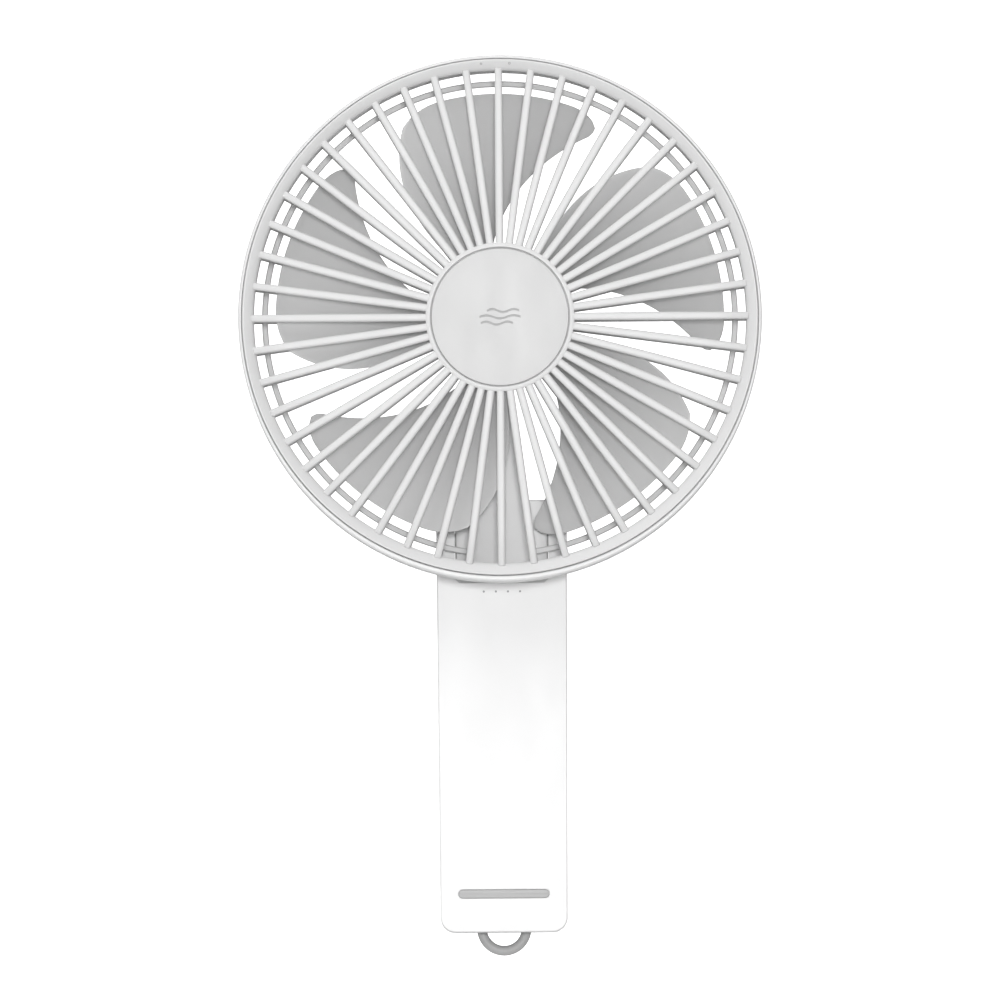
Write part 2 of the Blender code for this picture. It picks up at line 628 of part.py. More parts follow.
def blade_point(u, v, turn):
    """A point on the blade's front surface: u from the front edge to the rear, v from root to tip."""
    root = IMPELLER_HUB_R - IMPELLER_HUB_WALL / 2
    near_edge = max(0.0, 1 - min(u, 1 - u) / BLADE_CORNER_SHARE)
    tip = BLADE_TIP_R - BLADE_CORNER * (1 - math.sqrt(1 - BLADE_CORNER_FULLNESS * near_edge**2))
    radius = root + (tip - root) * v
    first, last = blade_edges(radius)
    angle = math.radians(first + (last - first) * u + turn)
    camber = BLADE_CAMBER * math.sin(math.pi * u) * (1 - u)
    y = IMPELLER_Y + BLADE_SETBACK + (BLADE_RISE - BLADE_THICK) * u - camber
    return Vector((radius * math.sin(angle), max(y, IMPELLER_Y), HEAD_Z + radius * math.cos(angle)))


def blade(turn, columns=8, rows=7):
    """One blade as a closed sheet of even thickness along Y."""
    bm = bmesh.new()
    layers = []
    for depth in (0.0, BLADE_THICK):
        layers.append([
            [bm.verts.new(blade_point(u / columns, v / rows, turn) + Vector((0, depth, 0)))
             for u in range(columns + 1)] for v in range(rows + 1)])
    near, far = layers
    for v in range(rows):
        for u in range(columns):
            bm.faces.new((near[v][u], near[v][u + 1], near[v + 1][u + 1], near[v + 1][u]))
            bm.faces.new((far[v][u], far[v + 1][u], far[v + 1][u + 1], far[v][u + 1]))
    rim = [(0, u) for u in range(columns)] + [(v, columns) for v in range(rows)]
    rim += [(rows, u) for u in range(columns, 0, -1)] + [(v, 0) for v in range(rows, 0, -1)]
    for (v, u), (v2, u2) in zip(rim, rim[1:] + rim[:1]):
        bm.faces.new((near[v][u], far[v][u], far[v2][u2], near[v2][u2]))
    bmesh.ops.recalc_face_normals(bm, faces=bm.faces)
    return bm


def impeller(axis):
    """The bladed cup that covers the motor, and the cap on its front."""
    front, back = IMPELLER_Y, IMPELLER_Y + IMPELLER_HUB_DEPTH
    inner = IMPELLER_HUB_R - IMPELLER_HUB_WALL
    hole = SHAFT_R + RUNNING
    cup = turned([
        (hole, front), (IMPELLER_HUB_R - MM, front), (IMPELLER_HUB_R, front + MM), (IMPELLER_HUB_R, back),
        (inner, back), (inner, front + IMPELLER_HUB_WALL), (hole, front + IMPELLER_HUB_WALL),
    ], "Y", FAN_AXIS, DISC_FACETS, ring=True)
    wheel = piece("impeller", cup, "blade_grey", axis)
    blades = merged([blade(360 * k / BLADE_COUNT) for k in range(BLADE_COUNT)])
    join(wheel, helper("blades", blades))
    top = front - GAP
    cap = turned([
        (0, top - SPINNER_DEPTH), (SPINNER_FLAT_R, top - SPINNER_DEPTH), (SPINNER_R, top - SPINNER_EDGE),
        (SPINNER_R, top), (hole, top), (hole, top - SPINNER_CUP), (0, top - SPINNER_CUP),
    ], "Y", FAN_AXIS, 32)
    piece("spinner", cap, "trim_grey", axis)


def motor(head, spin):
    """An outer-rotor motor: can, magnet and shaft turn about the coils on the base's tube."""
    can_front = IMPELLER_Y + IMPELLER_HUB_WALL + GAP
    can_back = MOTOR_BASE_Y - MM
    tube_front = can_front + CAN_WALL + MM
    stator_back = can_back - STATOR_FROM_CAN_END
    core_in = BEARING_R + BEARING_TUBE_WALL + RUNNING
    motor_rotor(can_front, can_back, spin)
    motor_base(tube_front, head)
    stator(core_in, (stator_back - STATOR_LENGTH, stator_back), head)
    board = pipe(core_in, MOTOR_BASE_R - MOTOR_BOARD_INSET, MOTOR_BASE_Y - GAP - MOTOR_BOARD_THICK,
                 MOTOR_BASE_Y - GAP, "Y", FAN_AXIS, 32)
    board = piece("motor_board", board, "board", head)
    for k, (x, z) in enumerate(motor_screw_places()):
        hole = rod(SCREW_HEAD_R, MOTOR_BASE_Y - THROUGH, MOTOR_BASE_Y + THROUGH, "Y", (x, 0, z),
                   SCREW_FACETS)
        cut(board, helper(f"board_hole_{k}", hole))


def motor_rotor(can_front, can_back, spin):
    """What turns with the impeller: the shaft, the steel can and the ring magnet in it."""
    magnet_in = STATOR_R + AIR_GAP
    can_in, can_out = CAN_IN_R, CAN_IN_R + CAN_WALL
    shaft = rod(SHAFT_R, IMPELLER_Y - 2 * GAP, MOTOR_BASE_Y + MOTOR_BASE_THICK - GAP, "Y", FAN_AXIS)
    piece("motor_shaft", shaft, "steel", spin)
    can = turned([
        (SHAFT_R + RUNNING, can_front), (can_out, can_front), (can_out, can_back), (can_in, can_back),
        (can_in, can_front + CAN_WALL), (SHAFT_R + RUNNING, can_front + CAN_WALL),
    ], "Y", FAN_AXIS, DISC_FACETS, ring=True)
    piece("rotor_can", can, "steel", spin)
    magnet = pipe(magnet_in, magnet_in + MAGNET_WALL, can_front + CAN_WALL + GAP,
                  can_back - MAGNET_FROM_CAN_END, "Y", FAN_AXIS, DISC_FACETS)
    piece("rotor_magnet", magnet, "ferrite", spin)


def motor_base(tube_front, head):
    """The base that is screwed to the rear grille, with two bearings in its tube."""
    tube_in, tube_out = BEARING_R + RUNNING, BEARING_R + BEARING_TUBE_WALL
    back = MOTOR_BASE_Y + MOTOR_BASE_THICK
    base = turned([
        (tube_in, tube_front), (tube_out, tube_front), (tube_out, MOTOR_BASE_Y),
        (MOTOR_BASE_R, MOTOR_BASE_Y), (MOTOR_BASE_R, back), (tube_in, back),
    ], "Y", FAN_AXIS, DISC_FACETS, ring=True)
    base = piece("motor_base", base, "trim_grey", head)
    head_under = REAR_BACK_Y - SCREW_HEAD_DEPTH - GAP / 2
    reach = head_under - MOTOR_BASE_Y - 4 * STEP
    for k, (x, z) in enumerate(motor_screw_places()):
        hole = rod(SCREW_SHANK_R + RUNNING, MOTOR_BASE_Y - THROUGH, back + THROUGH, "Y", (x, 0, z),
                   SCREW_FACETS)
        cut(base, helper(f"base_hole_{k}", hole))
        screw(f"motor_screw_{k + 1}", x, z, head_under, reach, 1, head)
    for name, y in (("bearing_front", tube_front), ("bearing_rear", back - BEARING_LENGTH)):
        bush = pipe(SHAFT_R + RUNNING, BEARING_R, y, y + BEARING_LENGTH, "Y", FAN_AXIS, 24)
        piece(name, bush, "bronze", head)


def stator(core_in, stator_y, head):
    """A six-toothed iron core with a coil on each tooth."""
    yoke = core_in + YOKE_WALL
    core = piece("stator_core", pipe(core_in, yoke, *stator_y, "Y", FAN_AXIS, DISC_FACETS), "steel", head)
    teeth = []
    for k in range(COIL_COUNT):
        turn = 360 * k / COIL_COUNT
        teeth.append(sector_bar(yoke - OVERLAP, STATOR_R - STATOR_SHOE / 2, turn, STATOR_TOOTH, *stator_y))
        teeth.append(sector(STATOR_R - STATOR_SHOE, STATOR_R, turn, SHOE_HALF_ANGLE, *stator_y, 4))
        coil(f"coil_{k + 1}", turn, yoke + GAP, STATOR_R - STATOR_SHOE - GAP, stator_y, head)
    join(core, helper("teeth", union_pairs(teeth)))


def union_pairs(solids):
    """Teeth and their shoes as one mesh; each pair overlaps, so the pair is joined first."""
    pairs = []
    for k in range(0, len(solids), 2):
        tooth = helper(f"tooth_{k}", solids[k])
        join(tooth, helper(f"shoe_{k}", solids[k + 1]))
        graph = bpy.context.evaluated_depsgraph_get()
        bm = bmesh.new()
        bm.from_object(tooth, graph)
        pairs.append(bm)
        for obj in (tooth, bpy.data.objects[f"shoe_{k}"]):
            bpy.data.objects.remove(obj, do_unlink=True)
    return merged(pairs)


def sector_bar(inner, outer, angle, width, y0, y1):
    """A straight bar of even width, pointing away from the fan's axis."""
    turn = math.radians(angle)
    along = Vector((math.sin(turn), math.cos(turn)))
    across = Vector((math.cos(turn), -math.sin(turn))) * width / 2
    near, far = along * inner, along * outer
    corners = [near - across, far - across, far + across, near + across]
    return extruded([(c.x, HEAD_Z + c.y) for c in corners], "Y", y0, y1)


def coil(name, angle, inner, outer, stator_y, parent):
    """A square winding round one tooth."""
    wire = GAP + COIL_WALL
    bore_width = STATOR_TOOTH + 2 * GAP - 4 * STEP
    winding = sector_bar(inner, outer, angle, bore_width + 2 * COIL_WALL,
                         stator_y[0] - wire, stator_y[1] + wire)
    winding = piece(name, winding, "copper", parent)
    bore = sector_bar(inner - MM, outer + MM, angle, bore_width, stator_y[0] - GAP, stator_y[1] + GAP)
    cut(winding, helper(name + "_bore", bore))


def head_covers(head):
    """The cap behind the motor, the lead in its groove and the strip that covers it."""
    y0 = REAR_BACK_Y + GAP
    y1 = y0 + REAR_COVER_THICK
    cover = turned([(0, y0), (REAR_COVER_R, y0), (REAR_COVER_R, (y0 + y1) / 2),
                    (REAR_COVER_R - REAR_COVER_THICK / 2, y1), (0, y1)], "Y", FAN_AXIS, DISC_FACETS)
    piece("motor_rear_cover", cover, "white", head)
    half = GROOVE_HALF + LEAD_COVER_SIDE
    strip = box((-half, y0, BARREL_TOP_Z + GAP), (half, y0 + LEAD_COVER_THICK, HEAD_Z - REAR_COVER_R - GAP),
                4 * STEP, 1)
    piece("lead_cover", strip, "white", head)
    start = HEAD_Z - REAR_RING_R + GROOVE_FROM_RING + 2 * MM
    end = HEAD_Z - MOTOR_BASE_R - 2 * MM
    y = REAR_BACK_Y - GROOVE_DEPTH / 2
    piece("motor_lead", rod(LEAD_R, start, end, "Z", (0, y, 0), 10), "lead", head)


def hinge(head):
    """The head's barrel between the handle's cheeks, with its pin, washers and screws."""
    flat_y = HEAD_BACK_Y + GAP
    outline = arc(HINGE_Y, HINGE_Z, BARREL_R, -90, 90, 16)
    outline += [(flat_y, BARREL_TOP_Z), (flat_y, HINGE_Z - BARREL_R)]
    knuckle = piece("hinge_knuckle", extruded(outline, "X", -BARREL_HALF, BARREL_HALF), "white", head)
    pad_half = BARREL_HALF * PAD_SHARE
    pad_low = HEAD_Z - math.sqrt((LIP_R - GAP) ** 2 - pad_half**2) + GAP
    pad_top = HINGE_Z + BARREL_R * PAD_TOP_SHARE
    pad = box((-pad_half, REAR_BACK_Y + GAP, pad_low), (pad_half, flat_y + MM, pad_top))
    join(knuckle, helper("knuckle_pad", pad))
    bore = rod(HINGE_PIN_R + RUNNING, -BARREL_HALF - THROUGH, BARREL_HALF + THROUGH, "X", HINGE_AXIS)
    cut(knuckle, helper("knuckle_bore", bore))
    hinge_washers(knuckle, head)
    knuckle_screws(knuckle, head)
    half = HANDLE_WIDTH_TOP / 2 - PIN_END_WALL
    piece("hinge_pin", rod(HINGE_PIN_R, -half + GAP, half - GAP, "X", HINGE_AXIS), "steel")


def knuckle_screws(knuckle, head):
    """Two long screws, sunk in the barrel's back, that run forward into the rear grille."""
    under = HINGE_Y + KNUCKLE_SCREW_SEAT
    tip = REAR_Y + KNUCKLE_SCREW_SKIN + SCREW_TIP_ROOM / 2
    back = HINGE_Y + BARREL_R + THROUGH
    for k, x in enumerate(knuckle_screw_x()):
        spot = (x, 0, KNUCKLE_SCREW_Z)
        hole = rod(SCREW_SHANK_R + RUNNING, REAR_Y - THROUGH, back, "Y", spot, SCREW_FACETS)
        sink = rod(SCREW_HEAD_R + GAP / 2, under, back, "Y", spot, SCREW_FACETS)
        cut(knuckle, helper(f"knuckle_bore_{k}", hole), helper(f"knuckle_sink_{k}", sink))
        screw(f"knuckle_screw_{k + 1}", x, KNUCKLE_SCREW_Z, under + RUNNING, under - tip, 1, head)


def hinge_washers(knuckle, head):
    """A washer sunk into each end of the barrel."""
    for side, name in ((-1, "left"), (1, "right")):
        outer = side * BARREL_HALF
        sink = rod(WASHER_R + GAP, *sorted((outer - side * (WASHER_THICK + GAP), outer + side * THROUGH)),
                   "X", HINGE_AXIS)
        cut(knuckle, helper(f"washer_seat_{name}", sink))
        inside, outside = sorted((outer - side * WASHER_THICK, outer + side * WASHER_PROUD))
        washer = pipe(HINGE_PIN_R + RUNNING, WASHER_R, inside, outside, "X", HINGE_AXIS, 24)
        piece(f"hinge_washer_{name}", washer, "steel", head)


def handle_half_width(z):
    """Half of the handle's width at this height."""
    share = (z - FOOT_Z) / HANDLE_LENGTH
    return (HANDLE_WIDTH_BOTTOM + (HANDLE_WIDTH_TOP - HANDLE_WIDTH_BOTTOM) * share) / 2


def handle_blank(y0, y1):
    """The handle's outer shape between two planes of y, with its round top on the hinge axis."""
    outline = arc(HINGE_Y, HINGE_Z, HANDLE_R, 0, 180, 20)
    r = HANDLE_EDGE
    outline += arc(HANDLE_FRONT_Y + r, FOOT_Z + r, r, 180, 270, 4)
    outline += arc(HANDLE_BACK_Y - r, FOOT_Z + r, r, 270, 360, 4)
    bm = extruded(outline, "X", -1, 1)
    for vert in bm.verts:
        vert.co.x *= handle_half_width(vert.co.z)
    rims = [e for e in bm.edges if e.verts[0].co.x * e.verts[1].co.x > 0]
    bmesh.ops.bevel(bm, geom=rims, offset=HANDLE_EDGE, segments=4, profile=0.5, affect="EDGES")
    for plane, normal in ((y0, (0, -1, 0)), (y1, (0, 1, 0))):
        geometry = bm.verts[:] + bm.edges[:] + bm.faces[:]
        bmesh.ops.bisect_plane(bm, geom=geometry, plane_co=(0, plane, 0), plane_no=normal, clear_outer=True)
        bmesh.ops.holes_fill(bm, edges=[e for e in bm.edges if e.is_boundary])
    return bm


def handle_cutters():
    """What both halves of the handle are cut by."""
    half = CHEEK_GAP / 2
    wide = handle_half_width(CAVITY_Z[0]) - HANDLE_WALL
    top = TOP_Z + THROUGH
    slot = extruded([
        (-half, top), (-half, SLOT_Z + CHEEK_CHAMFER), (-half + CHEEK_CHAMFER, SLOT_Z),
        (half - CHEEK_CHAMFER, SLOT_Z), (half, SLOT_Z + CHEEK_CHAMFER), (half, top),
    ], "Y", HANDLE_FRONT_Y - THROUGH, HANDLE_BACK_Y + THROUGH)
    cavity = box((-wide, HANDLE_FRONT_Y + HANDLE_WALL, CAVITY_Z[0]),
                 (wide, HANDLE_BACK_Y - HANDLE_WALL, CAVITY_Z[1]), MM, 1)
    pin_half = HANDLE_WIDTH_TOP / 2 - PIN_END_WALL
    pin = rod(HINGE_PIN_R + RUNNING, -pin_half, pin_half, "X", HINGE_AXIS)
    pocket = box((-POCKET_HALF, HINGE_Y - POCKET_HALF_DEPTH, FOOT_Z - THROUGH),
                 (POCKET_HALF, HINGE_Y + POCKET_HALF_DEPTH, POCKET_TOP_Z))
    pin_end = POCKET_HALF + LOOP_PIN_SEAT
    loop_pin = rod(LOOP_PIN_R + RUNNING, -pin_end, pin_end, "X", LOOP_AXIS, 16)
    return [helper("hinge_slot", slot), helper("cavity", cavity), helper("pin_bore", pin),
            helper("loop_pocket", pocket), helper("loop_pin_bore", loop_pin)]


def case_screw_places():
    """(x, z) of the four screws that hold the shells together."""
    x = HANDLE_WIDTH_BOTTOM / 2 - HANDLE_EDGE - SCREW_HEAD_R - OVERLAP
    heights = (FOOT_Z + CASE_SCREW_ABOVE_FOOT, CAVITY_Z[1] + NECK_HEIGHT / 2)
    return [(side * x, z) for z in heights for side in (-1, 1)]


def handle():
    """The handle's two shells, its screws and the strip let into its front."""
    shared = handle_cutters()
    front = piece("handle_front_shell", handle_blank(HANDLE_FRONT_Y - MM, HINGE_Y - GAP / 2), "white")
    rear = piece("handle_rear_shell", handle_blank(HINGE_Y + GAP / 2, HANDLE_BACK_Y + MM), "white")
    cut(front, *shared)
    cut(rear, *shared)
    recess = stadium(STRIP_LENGTH, STRIP_HEIGHT, STRIP_Z, HANDLE_FRONT_Y - THROUGH,
                     HANDLE_FRONT_Y + STRIP_RECESS)
    cut(front, helper("strip_recess", recess))
    lamp_openings(front)
    case_screws(front, rear)
    inside, outside = HANDLE_BACK_Y - HANDLE_WALL - MM, HANDLE_BACK_Y + THROUGH
    button_hole = rod(BUTTON_R + BUTTON_SIDE, inside, outside, "Y", (0, 0, BUTTON_Z), 32)
    port_hole = stadium(PORT_WIDTH + 2 * GAP, PORT_HEIGHT + 2 * GAP, PORT_Z, inside, outside)
    cut(rear, helper("button_hole", button_hole), helper("port_hole", port_hole))
    inlay = stadium(STRIP_LENGTH - GAP, STRIP_HEIGHT - GAP, STRIP_Z, HANDLE_FRONT_Y + STRIP_SETBACK,
                    HANDLE_FRONT_Y + STRIP_RECESS - 2 * STEP)
    piece("accent_strip", inlay, "trim_grey")


def lamp_openings(front):
    """The pocket behind the charge lamps and the pinholes that they shine through."""
    half = LAMP_POCKET_WIDTH / 2
    pocket = box((-half, HANDLE_FRONT_Y + HANDLE_WALL - STEP, CAVITY_Z[1] - 2 * MM),
                 (half, HANDLE_FRONT_Y + LAMP_POCKET_BACK, SLOT_Z - LAMP_POCKET_ROOF))
    cut(front, helper("lamp_pocket", pocket))
    for k, x in enumerate(lamp_places()):
        hole = rod(LAMP_R + RUNNING, HANDLE_FRONT_Y - THROUGH, HANDLE_FRONT_Y + HANDLE_WALL + MM, "Y",
                   (x, 0, LAMP_Z), 12)
        cut(front, helper(f"lamp_hole_{k}", hole))


def case_screws(front, rear):
    """Screws from behind that hold the two shells together, and their holes."""
    tip = HINGE_Y - THROUGH
    under = HANDLE_BACK_Y - SCREW_HEAD_DEPTH - CASE_SCREW_SINK
    outside = HANDLE_BACK_Y + THROUGH
    for k, (x, z) in enumerate(case_screw_places()):
        bore = rod(SCREW_SHANK_R + RUNNING, tip, outside, "Y", (x, 0, z), SCREW_FACETS)
        hole = helper(f"case_hole_{k}", bore)
        sink = rod(SCREW_HEAD_R + GAP / 2, under, outside, "Y", (x, 0, z), SCREW_FACETS)
        cut(front, hole)
        cut(rear, hole, helper(f"case_sink_{k}", sink))
        screw(f"case_screw_{k + 1}", x, z, under + RUNNING, under - tip - SCREW_TIP_ROOM, 1, None)


def lamp_places():
    """x of the charge lamps."""
    return [LAMP_PITCH * (k - (LAMP_COUNT - 1) / 2) for k in range(LAMP_COUNT)]


def slab(width, y0, y1, z0, z1, x=0.0, edge=0.0):
    """A block of this width, centred on x."""
    return box((x - width / 2, y0, z0), (x + width / 2, y1, z1), edge, 1)


def charge_lamps():
    """Four lamps on their board, behind a guide whose pins reach the handle's face."""
    face = HANDLE_FRONT_Y + HANDLE_WALL + GAP
    width, thick, height = LIGHT_GUIDE
    bar = slab(width, face, face + thick, LAMP_Z - height / 2, LAMP_Z + height / 2)
    guide = piece("light_guide", bar, "lamp")
    lamp_y = face + thick + GAP
    lamp_width, lamp_thick, lamp_height = LAMP_BODY
    for k, x in enumerate(lamp_places()):
        pin = rod(LAMP_R, HANDLE_FRONT_Y + STEP, face + OVERLAP, "Y", (x, 0, LAMP_Z), 12)
        join(guide, helper(f"guide_pin_{k}", pin))
        lamp = slab(lamp_width, lamp_y, lamp_y + lamp_thick,
                    LAMP_Z - lamp_height / 2, LAMP_Z + lamp_height / 2, x)
        piece(f"lamp_{k + 1}", lamp, "lamp")
    board_y = lamp_y + lamp_thick + GAP
    board = slab(LAMP_BOARD_WIDTH, board_y, board_y + LAMP_BOARD_THICK, BOARD_Z[1] - LAMP_BOARD_LAP,
                   LAMP_Z + lamp_height)
    piece("lamp_board", board, "board")


def power_pack():
    """The cell with its tabs and leads, and the board with the switch and the charging socket."""
    cell_top = CELL_Z + CELL_LENGTH
    cell = turned([(0, CELL_Z), (CELL_R - CELL_EDGE, CELL_Z), (CELL_R, CELL_Z + CELL_EDGE),
                   (CELL_R, cell_top - CELL_EDGE), (CELL_R - CELL_EDGE, cell_top), (0, cell_top)],
                  "Z", (0, HINGE_Y, 0), 32)
    piece("battery_cell", cell, "cell_wrap")
    width, depth, thick = TAB_SIZE
    for name, z in (("battery_tab_top", cell_top + GAP), ("battery_tab_bottom", CELL_Z - 2 * thick)):
        piece(name, slab(width, HINGE_Y - depth / 2, HINGE_Y + depth / 2, z, z + thick), "steel")
    lead_y, lead_top = BOARD_Y - GAP - BATTERY_LEAD_R, BOARD_Z[0] + BATTERY_LEAD_LAP
    side = CELL_R + BATTERY_LEAD_R + BATTERY_LEAD_SIDE
    for name, x, start in (("battery_lead_positive", 0, cell_top + 2 * GAP + thick),
                           ("battery_lead_negative", side, CELL_Z)):
        piece(name, rod(BATTERY_LEAD_R, start, lead_top, "Z", (x, lead_y, 0), 10), "lead")
    board_width = 2 * (handle_half_width(CAVITY_Z[0]) - HANDLE_WALL - BOARD_SIDE)
    piece("main_board", slab(board_width, BOARD_Y, BOARD_Y + BOARD_THICK, *BOARD_Z), "board")
    charging_socket()
    push_switch()


def charging_socket():
    """The socket's steel mouth, with the contact tongue inside it."""
    back = HANDLE_BACK_Y - PORT_SETBACK
    front = back - PORT_DEPTH
    port = piece("usb_socket", stadium(PORT_WIDTH, PORT_HEIGHT, PORT_Z, front, back), "steel")
    mouth = stadium(PORT_WIDTH - 2 * PORT_WALL, PORT_HEIGHT - 2 * PORT_WALL, PORT_Z, front + MM, back + MM)
    cut(port, helper("port_mouth", mouth))
    tongue = slab(TONGUE_WIDTH, front + OVERLAP, back - MM,
                  PORT_Z - TONGUE_THICK / 2, PORT_Z + TONGUE_THICK / 2)
    join(port, helper("port_tongue", tongue))


def push_switch():
    """The switch on the board, whose plunger stands under the button."""
    back = HANDLE_BACK_Y - HANDLE_WALL - BUTTON_FLANGE - BUTTON_TRAVEL - 2 * GAP
    body = slab(2 * SWITCH_HALF, BOARD_Y + BOARD_THICK + GAP, back - PLUNGER_OUT,
                  BUTTON_Z - SWITCH_HALF, BUTTON_Z + SWITCH_HALF, edge=SWITCH_EDGE)
    switch = piece("button_switch", body, "ferrite")
    plunger = rod(PLUNGER_R, back - 2 * PLUNGER_OUT, back, "Y", (0, 0, BUTTON_Z), 16)
    join(switch, helper("switch_plunger", plunger))


def power_button():
    """The dished button, held in the rear shell by its flange."""
    axis = pivot("button_travel", Vector((0, HANDLE_BACK_Y, BUTTON_Z)))
    inside = HANDLE_BACK_Y - HANDLE_WALL - GAP
    flange, flange_r = inside - BUTTON_FLANGE, BUTTON_R + BUTTON_FLANGE_OUT
    face = HANDLE_BACK_Y + BUTTON_PROUD
    cap = turned([
        (0, flange), (flange_r, flange), (flange_r, inside), (BUTTON_R, inside),
        (BUTTON_R, face - BUTTON_EDGE), (BUTTON_R - BUTTON_EDGE, face),
        (BUTTON_R - 3 * BUTTON_EDGE, face - BUTTON_DISH / 2), (0, face - BUTTON_DISH),
    ], "Y", (0, 0, BUTTON_Z), 32)
    piece("power_button", cap, "trim_grey", axis)


def lanyard_loop():
    """A bent rod: two straight legs on the pin and a half circle below the handle."""
    axis = pivot("loop_swing", LOOP_AXIS)
    centre_z = LOOP_MEAN_R + LOOP_TUBE_R
    leg_top = PIVOT_Z + LOOP_LEG_ABOVE_PIN
    route = [(-LOOP_MEAN_R, leg_top), (-LOOP_MEAN_R, (leg_top + centre_z) / 2)]
    route += arc(0, centre_z, LOOP_MEAN_R, 180, 360, 16)
    route += [(LOOP_MEAN_R, (leg_top + centre_z) / 2), (LOOP_MEAN_R, leg_top)]
    sides = 12
    bm = bmesh.new()
    rows = []
    for k, (x, z) in enumerate(route):
        before, after = route[max(k - 1, 0)], route[min(k + 1, len(route) - 1)]
        along = Vector((after[0] - before[0], after[1] - before[1])).normalized()
        normal = Vector((-along.y, 0, along.x))
        rows.append([])
        for s in range(sides):
            t = 2 * math.pi * s / sides
            offset = normal * math.cos(t) * LOOP_TUBE_R + Vector((0, math.sin(t) * LOOP_TUBE_R, 0))
            rows[-1].append(bm.verts.new(Vector((x, HINGE_Y, z)) + offset))
    for row, after in zip(rows, rows[1:]):
        for s in range(sides):
            bm.faces.new((row[s], row[(s + 1) % sides], after[(s + 1) % sides], after[s]))
    bm.faces.new(rows[0])
    bm.faces.new(rows[-1][::-1])
    loop = piece("lanyard_loop", bm, "trim_grey", axis)
    hole = rod(LOOP_PIN_R + RUNNING, -LOOP_MEAN_R - THROUGH, LOOP_MEAN_R + THROUGH, "X", LOOP_AXIS, 16)
    cut(loop, helper("loop_eye", hole))
    half = POCKET_HALF + LOOP_PIN_SEAT - GAP
    piece("loop_pin", rod(LOOP_PIN_R, -half, half, "X", LOOP_AXIS, 16), "steel")


def main():
    clear_scene()
    head = pivot("head_fold", HINGE_AXIS)
    spin = pivot("impeller_axis", FAN_AXIS, head)
    twist = pivot("grille_axis", FAN_AXIS, head)
    front_grille(twist)
    head_shell(head)
    rear_grille(head)
    impeller(spin)
    motor(head, spin)
    head_covers(head)
    hinge(head)
    handle()
    charge_lamps()
    power_pack()
    power_button()
    lanyard_loop()


main()
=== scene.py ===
"""Looks of a rechargeable handheld fan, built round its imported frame.

Every sub-assembly is a class that builds its meshes and dresses them. Lengths are metres, in the
frame's own axes: +Z up the handle, -Y the way the air blows.
"""

import json
import logging
import math
from dataclasses import dataclass, field
from enum import Enum
from typing import Callable, Iterable, Sequence

import bmesh
import bpy
from mathutils import Matrix, Vector


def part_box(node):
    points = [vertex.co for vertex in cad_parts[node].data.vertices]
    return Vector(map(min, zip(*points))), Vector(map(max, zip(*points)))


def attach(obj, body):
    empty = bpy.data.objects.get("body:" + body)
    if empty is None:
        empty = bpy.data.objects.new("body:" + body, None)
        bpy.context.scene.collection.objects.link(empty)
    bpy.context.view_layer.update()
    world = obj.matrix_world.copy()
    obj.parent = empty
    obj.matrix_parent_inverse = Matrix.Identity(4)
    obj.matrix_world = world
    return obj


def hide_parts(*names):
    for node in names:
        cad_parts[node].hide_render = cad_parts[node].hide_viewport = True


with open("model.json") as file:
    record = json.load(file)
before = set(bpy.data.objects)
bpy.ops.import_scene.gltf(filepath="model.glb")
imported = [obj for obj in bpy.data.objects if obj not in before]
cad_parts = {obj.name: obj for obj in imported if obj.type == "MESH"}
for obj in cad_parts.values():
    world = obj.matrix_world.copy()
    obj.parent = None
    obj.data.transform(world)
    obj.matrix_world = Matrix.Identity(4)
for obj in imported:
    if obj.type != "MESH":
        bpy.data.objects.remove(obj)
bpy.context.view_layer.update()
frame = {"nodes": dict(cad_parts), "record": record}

MM = 0.001
SCREW_HOLE = 0.95 * MM  # radii of the bores
SCREW_HEAD_HOLE = 1.85 * MM
HINGE_PIN_HOLE = 2.05 * MM
LOOP_PIN_HOLE = 0.65 * MM
LOG = logging.getLogger("handheld_fan")
Point = tuple[float, float]


class Body(Enum):
    """The moving bodies that pieces ride on."""

    HANDLE = "handle"
    HEAD = "head"
    GRILLE = "grille"
    ROTOR = "rotor"
    BUTTON = "button"
    LOOP = "loop"


class Slot(Enum):
    """The record's finishes."""

    CASING = "white_casing"
    GRILLE = "grille_grey"
    BLADE = "blade_grey"
    TRIM = "trim_grey"


# ---------------------------------------------------------------- shader graphs


class Wire:
    """A socket that takes part in Python expressions, each operator adding one Math node."""

    def __init__(self, graph: "Graph", socket: bpy.types.NodeSocket) -> None:
        """Wrap a socket of a graph."""
        self.graph = graph
        self.socket = socket

    def _maths(self, operation: str, first: "Value", second: "Value") -> "Wire":
        """Add one Math node and return its output."""
        return self.graph.add("ShaderNodeMath", {"operation": operation}, {0: first, 1: second})

    def __add__(self, other: "Value") -> "Wire":
        """Sum."""
        return self._maths("ADD", self, other)

    def __radd__(self, other: "Value") -> "Wire":
        """Sum, with the number on the left."""
        return self._maths("ADD", other, self)

    def __sub__(self, other: "Value") -> "Wire":
        """Difference."""
        return self._maths("SUBTRACT", self, other)

    def __rsub__(self, other: "Value") -> "Wire":
        """Difference, with the number on the left."""
        return self._maths("SUBTRACT", other, self)

    def __mul__(self, other: "Value") -> "Wire":
        """Product."""
        return self._maths("MULTIPLY", self, other)

    def __rmul__(self, other: "Value") -> "Wire":
        """Product, with the number on the left."""
        return self._maths("MULTIPLY", other, self)


Value = Wire | float | tuple


